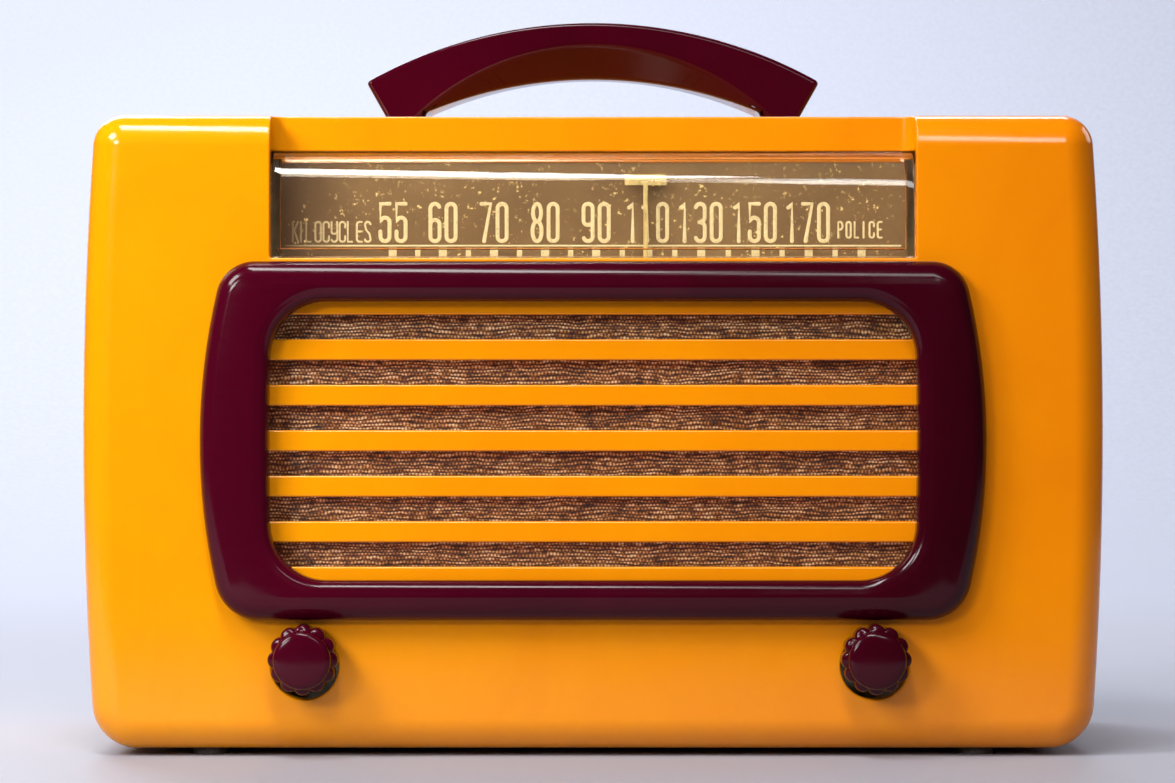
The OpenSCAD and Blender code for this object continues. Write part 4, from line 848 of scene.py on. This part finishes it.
# %% Both knobs
dome = [(8.0 * math.sin(math.radians(a)), -15 + 0.9 * (1 - math.cos(math.radians(a))), 0)
        for a in range(0, 61, 10)]
knob_profile = dome + [(7.45, -14.35, 0), (7.85, -14.0, 0), (8.1, -13.5, 0), (8.2, -12.9, 0), (8.2, -11.2, 0),
                       (8.3, -10.75, 0.1), (8.6, -10.5, 0.5), (9.1, -10.35, 0.85), (9.5, -10.1, 1),
                       (9.8, -9.7, 1), (9.95, -9.1, 1), (10, -8.4, 1), (10, -2.2, 1), (9.8, -1.6, 1),
                       (9.4, -1.5, 1), (3.25, -1.5, 0), (3.25, -10.4, 0), (0, -10.4, 0)]
for name, node, body, x in (("volume_knob_cap", "volume_knob", "volume", KNOB_X[0]),
                            ("tuning_knob_cap", "tuning_knob", "tuning_control", KNOB_X[1])):
    profile = mesh_object("profile", [(r * MM, d * MM, lobing) for r, d, lobing in knob_profile], [])
    knob = grow(name, knob_rule, {
        "Profile": profile, "Centre": (x * MM, FRONT_Y, KNOB_Z * MM), "Around": 240, "Lobes": 12,
        "Lobe Ring": 7.4 * MM, "Lobe Radius": 2.6 * MM, "Weld Distance": 0.005 * MM,
        "Material": cast_maroon})
    drop(profile)
    tidy_mesh(knob)
    smooth(knob, 38)
    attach(knob, body)
    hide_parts(node)
    print(name, len(knob.data.polygons), "faces")

# %% [markdown]
# ## The dial lens
# One clear moulding: a flat front that curls back over the top like a wave, a lip along the bottom that
# hooks behind the cabinet front, and closed ends. Its side profile is extruded and the ends are added.

# %% Dial lens
CURL_Y, CURL_Z, CURL_R = 14, 160.7, 12
outer_curl = arc_points(CURL_Y, CURL_Z, CURL_R, math.pi, math.pi / 2, 24)[1:]
lens_side = [(2, 142.3), (2, CURL_Z)] + outer_curl
lens_side += [(15.4, 172.7), (15.4, 170.3)]
lens_side += arc_points(CURL_Y, CURL_Z, 9.6, math.pi / 2, math.pi, 24)
lens_side += [(4.4, 144.7), (9.7, 144.7), (9.7, 138.3), (7.3, 138.3), (7.3, 142.3)]
lens = prism("dial_lens_cover", lens_side, -91.7, 91.7, axis="X")
end_side = [(2, 142.3), (2, CURL_Z)] + [point for point in outer_curl if point[0] < 9.7]
end_side += [(9.7, CURL_Z + math.sqrt(CURL_R ** 2 - 4.3 ** 2)), (9.7, 142.3)]
for sx in (-1, 1):
    lo, hi = sorted((sx * 89.3, sx * 91.7))
    carve(lens, prism("lens_end", end_side, lo, hi, axis="X"), operation="UNION")
    lo, hi = sorted((sx * 91.0, sx * 95.7))
    carve(lens, prism("lens_ear", box_loop(7.3, 9.7, 138.3, CURL_Z), lo, hi, axis="X"), operation="UNION")
ease(lens, 0.35, segments=2, angle=40)
dress(lens, finishes["clear_lens"])
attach(lens, "radio")
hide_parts("dial_lens")
print("lens", len(lens.data.polygons), "faces")

# %% [markdown]
# ## The print on the dial
# The numbers are tall and narrow, drawn with one even stroke with round ends, so they are drawn here in the
# same way: as paths for a pen. Each letterform is a set of paths in a box one unit high. The words are the
# plain ones for the two ranges of any such dial.


# %% Letterforms as pen paths
def bowl(cx, cz, rx, rz, start, end, count=14):
    """An elliptical arc, angles in degrees."""
    return [(cx + rx * math.cos(math.radians(start + (end - start) * i / count)),
             cz + rz * math.sin(math.radians(start + (end - start) * i / count))) for i in range(count + 1)]


W = 0.245
R = W / 2
NARROW_R = 0.14


def crown(start, end):
    """The round top of a number."""
    return bowl(R, 1 - R, R, R, start, end)


def base(start, end):
    """The round foot of a number."""
    return bowl(R, R, R, R, start, end)


def cap(start, end):
    """The round top of a letter."""
    return bowl(NARROW_R, 1 - NARROW_R, NARROW_R, NARROW_R, start, end)


def foot(start, end):
    """The round foot of a letter."""
    return bowl(NARROW_R, NARROW_R, NARROW_R, NARROW_R, start, end)


FORMS = {
    "0": [crown(0, 180) + base(180, 360) + [(W, 1 - R)]],
    "1": [[(-0.01, 0.9), (0.04, 0.93), (0.09, 1.0), (0.09, 0.0)]],
    "3": [crown(165, 0) + bowl(R * 0.8, 0.64, R * 1.2, 0.13, 0, -90, 8),
          bowl(R * 0.8, 0.38, R * 1.2, 0.13, 90, 0, 8) + base(0, -165)],
    "5": [[(W, 1.0), (0.0, 1.0), (0.0, 0.53)] + bowl(R, 0.5, R, 0.13, 150, 0) + base(0, -180)
          + [(0, 0.26)]],
    "6": [crown(20, 180) + base(180, 360) + bowl(R, 0.45, R, 0.12, 0, 180)],
    "7": [[(0.0, 1.0), (W, 1.0), (0.07, 0.0)]],
    "8": [bowl(R, 0.765, R * 0.88, 0.235, -90, 270, 28), bowl(R, 0.265, R, 0.265, 90, 450, 28)],
    "9": [base(200, 360) + crown(0, 180) + bowl(R, 0.55, R, 0.12, 180, 360)],
    "K": [[(0, 0), (0, 1)], [(0.26, 1), (0.02, 0.48)], [(0.07, 0.56), (0.27, 0)]],
    "I": [[(0.0, 0), (0.0, 1)]],
    "L": [[(0, 1), (0, 0), (0.22, 0)]],
    "O": [cap(0, 180) + foot(180, 360) + [(0.28, 0.86)]],
    "C": [[(0.28, 0.72)] + cap(0, 180) + foot(180, 360)
          + [(0.28, 0.28)]],
    "Y": [[(0, 1), (0, 0.55)] + bowl(0.14, 0.5, 0.14, 0.1, 180, 340) + [(0.28, 0.55)],
          [(0.28, 1), (0.28, 0.14)] + foot(0, -160)],
    "E": [[(0.25, 1.0), (0.14, 1.0)] + cap(90, 180)[1:]
          + foot(180, 270) + [(0.25, 0)], [(0.0, 0.52), (0.2, 0.52)]],
    "S": [cap(10, 180) + [(0.05, 0.62), (0.23, 0.4)]
          + foot(0, -170)],
    "P": [[(0, 0), (0, 1), (0.12, 1)] + bowl(0.12, 0.76, 0.15, 0.24, 90, -90) + [(0, 0.52)]],
}
ADVANCE = {"1": 0.20, "I": 0.14, "L": 0.33}


def pen_paths(text, centre_x, low_z, height, gap, width=None):
    """Pen paths of a word in millimetres, centred on centre_x."""
    steps = [ADVANCE.get(c, W if c.isdigit() else 0.28) + gap for c in text]
    if width:
        extra = (width / height - (sum(steps) - gap)) / (len(text) - 1)
        steps = [s + extra for s in steps]
    total = sum(steps) - gap
    x, paths = centre_x - total * height / 2, []
    for c, step in zip(text, steps):
        paths += [[(x + a * height, low_z + b * height) for a, b in path] for path in FORMS[c]]
        x += step * height
    return paths


NUMBERS = ((-57.6, "55"), (-43.2, "60"), (-28.5, "70"), (-13.8, "80"), (0.9, "90"), (15.9, "110"),
           (31.1, "130"), (46.7, "150"), (62.0, "170"))
STROKE = 1.15
number_paths = []
for x, text in NUMBERS:
    number_paths += pen_paths(text, x, 146.7 + STROKE / 2, 11.9 - STROKE, 0.185)
word_paths = pen_paths("KILOCYCLES", -75.2, 147.1, 5.7, 0.1, width=22.4)
word_paths += pen_paths("POLICE", 77.2, 148.3, 4.5, 0.12, width=12.6)
line_paths = [[(-88.5, 145.95), (88.5, 145.95)]]
print("paths", len(number_paths), len(word_paths))

# %% [markdown]
# The pen itself is a Geometry Nodes tree: a round nib is carried along each path, a ball closes each end,
# and everything is pressed flat until it is a film of ink 0.05 mm thick.


# %% A Geometry Nodes pen
def pen_tree():
    tree, given, out = nodes_tree("pen_stroke", [
        ("Paths", "Object"), ("Stroke Width", "Float"), ("Film", "Float"), ("Plate Depth", "Float"),
        ("Material", "Material")])
    paths = shape_of(tree, given["Paths"])
    half = maths(tree, "MULTIPLY", given["Stroke Width"], 0.5)
    nib = add(tree, "GeometryNodeCurvePrimitiveCircle", {"Resolution": 12, "Radius": half})
    tube = add(tree, "GeometryNodeCurveToMesh", {
        "Curve": paths, "Profile Curve": nib.outputs[0], "Fill Caps": True})
    ball = add(tree, "GeometryNodeMeshIcoSphere", {"Radius": half, "Subdivisions": 2})
    ends = add(tree, "GeometryNodeCurveEndpointSelection")
    balls = add(tree, "GeometryNodeInstanceOnPoints", {
        "Points": paths, "Selection": ends.outputs[0], "Instance": ball.outputs[0]})
    joined = add(tree, "GeometryNodeJoinGeometry", {"Geometry": tube.outputs[0]})
    tree.links.new(balls.outputs[0], joined.inputs["Geometry"])
    real = add(tree, "GeometryNodeRealizeInstances", {"Geometry": joined.outputs[0]})
    squeeze = maths(tree, "DIVIDE", given["Film"], half)
    place = add(tree, "GeometryNodeInputPosition").outputs[0]
    axes = split(tree, place)
    off = maths(tree, "SUBTRACT", axes["Y"], given["Plate Depth"])
    flat = maths(tree, "MULTIPLY_ADD", off, squeeze, given["Plate Depth"])
    spot = vector(tree, X=axes["X"], Y=flat, Z=axes["Z"])
    finish_tree(tree, move_to(tree, real.outputs[0], spot), given["Material"], out)
    return tree


def path_object(name, paths):
    """A curve object of straight-run splines at the dial plate's face."""
    curve = bpy.data.curves.new(name, "CURVE")
    curve.dimensions = "3D"
    for path in paths:
        spline = curve.splines.new("POLY")
        spline.points.add(len(path) - 1)
        for point, (x, z) in zip(spline.points, path):
            point.co = (x * MM, PLATE_Y, z * MM, 1)
    obj = bpy.data.objects.new(name, curve)
    bpy.context.scene.collection.objects.link(obj)
    return obj


PLATE_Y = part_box("dial_plate")[0].y
pen = pen_tree()
printing = []
for name, paths, stroke in (("numbers", number_paths, STROKE), ("words", word_paths, 0.58),
                            ("rule", line_paths, 0.5)):
    source = path_object(name, paths)
    printing.append(grow("print_" + name, pen, {
        "Paths": source, "Stroke Width": stroke * MM, "Film": 0.05 * MM, "Plate Depth": PLATE_Y,
        "Material": finishes["cream_print"]}))
    drop(source)
print("print faces", [len(p.data.polygons) for p in printing])

# %% [markdown]
# Under the rule stand the tick blocks: a wide one under each number and a narrow one between. They repeat,
# so a second small tree puts a block on each point of a helper mesh and takes its width from an attribute.


# %% Tick blocks
def tick_tree():
    tree, given, out = nodes_tree("tick_blocks", [
        ("Places", "Object"), ("Block Height", "Float"), ("Film", "Float"), ("Material", "Material")])
    places = shape_of(tree, given["Places"])
    width = add(tree, "GeometryNodeInputNamedAttribute", {"Name": "width"}, data_type="FLOAT").outputs[0]
    size = vector(tree, X=width, Y=given["Film"], Z=given["Block Height"])
    block = add(tree, "GeometryNodeMeshCube", {"Size": (1, 1, 1)})
    many = add(tree, "GeometryNodeInstanceOnPoints", {
        "Points": places, "Instance": block.outputs["Mesh"], "Scale": size})
    finish_tree(tree, many.outputs[0], given["Material"], out)
    return tree


centres = [x for x, _ in NUMBERS]
betweens = [(a + b) / 2 for a, b in zip(centres, centres[1:])]
ticks = [(x, 2.3) for x in centres + [77.2]] + [(x, 1.5) for x in betweens + [69.6]]
places = mesh_object("places", [(x * MM, PLATE_Y, 143.9 * MM) for x, _ in ticks], [])
widths = places.data.attributes.new("width", "FLOAT", "POINT")
for item, (_, width) in zip(widths.data, ticks):
    item.value = width * MM
printing.append(grow("print_ticks", tick_tree(), {
    "Places": places, "Block Height": 2.6 * MM, "Film": 0.09 * MM, "Material": finishes["cream_print"]}))
drop(places)


def join(name, parts):
    """Joins plain mesh objects into the first one."""
    work = bmesh.new()
    for part in parts:
        work.from_mesh(part.data)
    work.to_mesh(parts[0].data)
    work.free()
    drop(*parts[1:])
    parts[0].name = name
    return parts[0]


dial_print = join("dial_print", printing)
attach(dial_print, "radio")
print("dial print", len(dial_print.data.polygons), "faces,", len(ticks), "ticks")

# %% [markdown]
# ## The pointer
# A T of thin sheet, painted cream: a head that slides behind the curl of the lens and a long needle. It is
# a flat outline with a bevelled rim, and it rides with the carriage.

# %% Pointer
half_needle, head, needle_low, head_low, head_high = 0.65, 6.0, 134.2, 163.2, 166.4
pointer_x = 15.1
pointer_loop = [(pointer_x + x, z) for x, z in (
    (-half_needle, needle_low), (half_needle, needle_low), (half_needle, head_low), (head, head_low),
    (head, head_high), (-head, head_high), (-head, head_low), (-half_needle, head_low))]
pointer = prism("pointer_blade", pointer_loop, 12.3, 12.9)
ease(pointer, 0.12, segments=2, angle=40)
dress(pointer, finishes["cream_paint"])
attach(pointer, "pointer")
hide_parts("dial_pointer")
print("pointer", len(pointer.data.polygons), "faces")

# %% [markdown]
# ## The grille cloth
# The cloth is cut to 191 by 91 mm and stretched over the baffle board behind the slots. It is a grid that
# follows the board, with the slight puckers that glued cloth has. A Geometry Nodes tree makes it, with the
# size, the spacing and the depth of the puckers as inputs.


# %% A Geometry Nodes cloth
def cloth_tree():
    tree, given, out = nodes_tree("stretched_cloth", [
        ("Low Corner", "Vector"), ("Width", "Float"), ("Height", "Float"), ("Across", "Int"), ("Up", "Int"),
        ("Pucker Depth", "Float"), ("Pucker Size", "Float"), ("Seed", "Float"), ("Material", "Material")])
    grid = add(tree, "GeometryNodeMeshGrid", {
        "Size X": given["Width"], "Size Y": given["Height"],
        "Vertices X": given["Across"], "Vertices Y": given["Up"]})
    place = add(tree, "GeometryNodeInputPosition").outputs[0]
    axes = split(tree, place)
    finer = maths(tree, "DIVIDE", 1.0, given["Pucker Size"])
    noise = add(tree, "ShaderNodeTexNoise", {
        "Vector": place, "W": given["Seed"], "Scale": finer, "Detail": 2.0},
        noise_dimensions="4D")
    depth = maths(tree, "MULTIPLY", noise.outputs[0], given["Pucker Depth"])
    half_w = maths(tree, "MULTIPLY_ADD", given["Width"], 0.5, axes["X"])
    half_h = maths(tree, "MULTIPLY_ADD", given["Height"], 0.5, axes["Y"])
    spot = vector(tree, X=half_w, Y=depth, Z=half_h)
    placed = move_to(tree, grid.outputs["Mesh"], shift(tree, spot, given["Low Corner"]))
    finish_tree(tree, placed, given["Material"], out)
    return tree


cloth_low, cloth_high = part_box("grille_cloth")
cloth = grow("speaker_cloth", cloth_tree(), {
    "Low Corner": (cloth_low.x, cloth_low.y + 0.08 * MM, cloth_low.z), "Width": cloth_high.x - cloth_low.x,
    "Height": cloth_high.z - cloth_low.z, "Across": 192, "Up": 92, "Pucker Depth": 0.22 * MM,
    "Pucker Size": 9 * MM, "Seed": 3.0, "Material": finishes["grille_weave"]})
apply_modifier(cloth, "SOLIDIFY", thickness=0.18 * MM, offset=-1.0)
tidy_mesh(cloth)
smooth(cloth, 60)
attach(cloth, "radio")
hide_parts("grille_cloth")
print("cloth", [round((b - a) / MM, 1) for a, b in zip(cloth_low, cloth_high)], "mm")

# %% [markdown]
# ## Screws
# The screws that show, on the back and underneath, are round-headed with a sawn slot. One tree makes a
# domed head and its shank once, cuts the slot, and puts a copy at each place, each turned by a seeded
# random angle, as a real fitter leaves them.


# %% A Geometry Nodes screw
def screw_tree():
    tree, given, out = nodes_tree("slotted_screws", [
        ("Places", "Object"), ("Facing", "Rotation"), ("Shank Radius", "Float"), ("Head Radius", "Float"),
        ("Head Height", "Float"), ("Length", "Float"), ("Slot Width", "Float"), ("Seed", "Int"),
        ("Material", "Material")])
    ball = add(tree, "GeometryNodeMeshUVSphere", {"Segments": 32, "Rings": 16, "Radius": 1.0})
    head_size = vector(tree, X=given["Head Radius"], Y=given["Head Radius"], Z=given["Head Height"])
    dome = add(tree, "GeometryNodeTransform", {"Geometry": ball.outputs["Mesh"], "Scale": head_size})
    below = add(tree, "GeometryNodeMeshCube", {"Size": (0.1, 0.1, 0.1)})
    under = add(tree, "GeometryNodeTransform", {
        "Geometry": below.outputs["Mesh"], "Translation": (0, 0, -0.05)})
    saw_size = vector(tree, X=0.1, Y=given["Slot Width"], Z=given["Head Height"])
    saw = add(tree, "GeometryNodeMeshCube", {"Size": saw_size})
    raised = vector(tree, Z=given["Head Height"])
    blade = add(tree, "GeometryNodeTransform", {"Geometry": saw.outputs["Mesh"], "Translation": raised})
    cut = add(tree, "GeometryNodeMeshBoolean", {"Mesh 1": dome.outputs[0]}, operation="DIFFERENCE")
    tree.links.new(under.outputs[0], cut.inputs["Mesh 2"])
    tree.links.new(blade.outputs[0], cut.inputs["Mesh 2"])
    sunk = maths(tree, "MULTIPLY", given["Length"], -0.5)
    shank = add(tree, "GeometryNodeMeshCylinder", {
        "Vertices": 24, "Radius": given["Shank Radius"], "Depth": given["Length"]})
    low = vector(tree, Z=sunk)
    shank = add(tree, "GeometryNodeTransform", {"Geometry": shank.outputs["Mesh"], "Translation": low})
    screw = add(tree, "GeometryNodeJoinGeometry", {"Geometry": cut.outputs["Mesh"]})
    tree.links.new(shank.outputs[0], screw.inputs["Geometry"])
    places = shape_of(tree, given["Places"])
    index = add(tree, "GeometryNodeInputIndex").outputs[0]
    spin = add(tree, "FunctionNodeRandomValue", {
        "Min": (0, 0, 0), "Max": (0, 0, math.pi), "ID": index, "Seed": given["Seed"]},
        data_type="FLOAT_VECTOR")
    turned = add(tree, "FunctionNodeRotateRotation", {
        "Rotation": given["Facing"], "Rotate By": spin.outputs[0]}, rotation_space="LOCAL")
    many = add(tree, "GeometryNodeInstanceOnPoints", {
        "Points": places, "Instance": screw.outputs[0], "Rotation": turned.outputs[0]})
    finish_tree(tree, many.outputs[0], given["Material"], out)
    return tree


screw_rule = screw_tree()
back_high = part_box("back_cover")[1]
for name, node, points, facing, shank, head_r, head_h, length in (
        ("back_cover_screws", "back_screws",
         [(sx * POST_X * MM, back_high.y, z * MM) for sx in (-1, 1) for z in POST_Z],
         (-math.pi / 2, 0, 0), 1.5, 3.0, 1.9, 11.5),
        ("underside_screws", "chassis_screws",
         [(sx * FOOT_SCREW_X * MM, FRONT_Y + d * MM, 5 * MM)
          for sx in (-1, 1) for d in FOOT_SCREW_DEPTHS],
         (math.pi, 0, 0), 2.0, 3.9, 2.2, 8.4)):
    places = mesh_object("places", points, [])
    screws = grow(name, screw_rule, {
        "Places": places, "Facing": facing, "Shank Radius": shank * MM, "Head Radius": head_r * MM,
        "Head Height": head_h * MM, "Length": length * MM, "Slot Width": 0.8 * MM, "Seed": 7,
        "Material": finishes["zinc_steel"]})
    drop(places)
    tidy_mesh(screws)
    smooth(screws, 35)
    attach(screws, "radio")
    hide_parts(node)
    print(name, len(screws.data.polygons), "faces")

# %% [markdown]
# ## Studio light
# A soft box stands high on the left and carries the form. A long narrow one in front and above, in two
# lengths with a gap, draws the thin white line on the curl of the lens. A low one in front reaches the cloth
# between the bars, which shade it from everything higher. Two weak ones light the right side and the back,
# and one the paper. The surroundings look pale but give little light, and the paper is one-sided, so it hides
# nothing from behind.


# %% Lights
def soft_box(name, place, aim, along, width, height, watts, colour="#ffffff"):
    """A rectangular area light at place that looks at aim, its width lying along a direction."""
    data = bpy.data.lights.new(name, "AREA")
    data.shape = "RECTANGLE"
    data.size, data.size_y = width, height
    data.energy = watts
    data.color = linear(colour)[:3]
    obj = bpy.data.objects.new(name, data)
    back = (Vector(place) - Vector(aim)).normalized()
    right = (Vector(along) - Vector(along).dot(back) * back).normalized()
    turn = Matrix((right, back.cross(right), back)).transposed().to_4x4()
    obj.matrix_world = Matrix.Translation(place) @ turn
    bpy.context.scene.collection.objects.link(obj)
    return obj


slant = (0.48, -0.72, -0.50)
lens_middle = (0, -0.066, 0.165)
soft_box("long_box_left", (-0.14, -0.515, 1.05), lens_middle, slant, 0.75, 0.14, 8)
soft_box("long_box_right", (0.195, -1.01, 0.685), lens_middle, slant, 0.50, 0.13, 2.0)
soft_box("side_light", (-0.62, -0.52, 0.62), (-0.1, -0.05, 0.1), (0, 1, 0), 0.30, 0.30, 6)
soft_box("front_fill", (-0.64, -1.10, 0.46), (0, -0.066, 0.09), (1, 0, 0), 0.30, 0.20, 5)
soft_box("right_fill", (1.0, 0.45, 0.6), (0.14, 0.0, 0.1), (0, 1, 0), 0.50, 0.50, 2.5)
soft_box("back_fill", (-0.5, 1.1, 0.8), (0.0, 0.08, 0.1), (1, 0, 0), 0.50, 0.40, 3.5)
soft_box("backdrop_light", (-0.25, 1.2, 1.35), (0.0, 1.5, 0.3), (1, 0, 0), 1.6, 0.5, 38, colour="#f1f6ff")

world = bpy.data.worlds.new("pale_surroundings")
bpy.context.scene.world = world
world.use_nodes = True
glow = world.node_tree.nodes["Background"]
glow.inputs["Color"].default_value = linear("#f1f1f4")
seen = add(world.node_tree, "ShaderNodeLightPath").outputs["Is Camera Ray"]
world.node_tree.links.new(spread(world.node_tree, seen, 0.06, 0.72, 0, 1), glow.inputs["Strength"])

material, tree, shader, where = new_material("matt_studio_paper", {"IOR": 1.45})
tooth = grain(tree, where, 3, detail=3)
tree.links.new(ramp(tree, tooth, [(0.3, "#9b9ca6"), (0.7, "#a2a3ad")]), shader.inputs["Base Color"])
tree.links.new(spread(tree, tooth, 0.55, 0.7), shader.inputs["Roughness"])
behind = add(tree, "ShaderNodeNewGeometry").outputs["Backfacing"]
show_instead(tree, behind, shader, add(tree, "ShaderNodeBsdfTransparent"))
backdrop.data.materials.append(material)
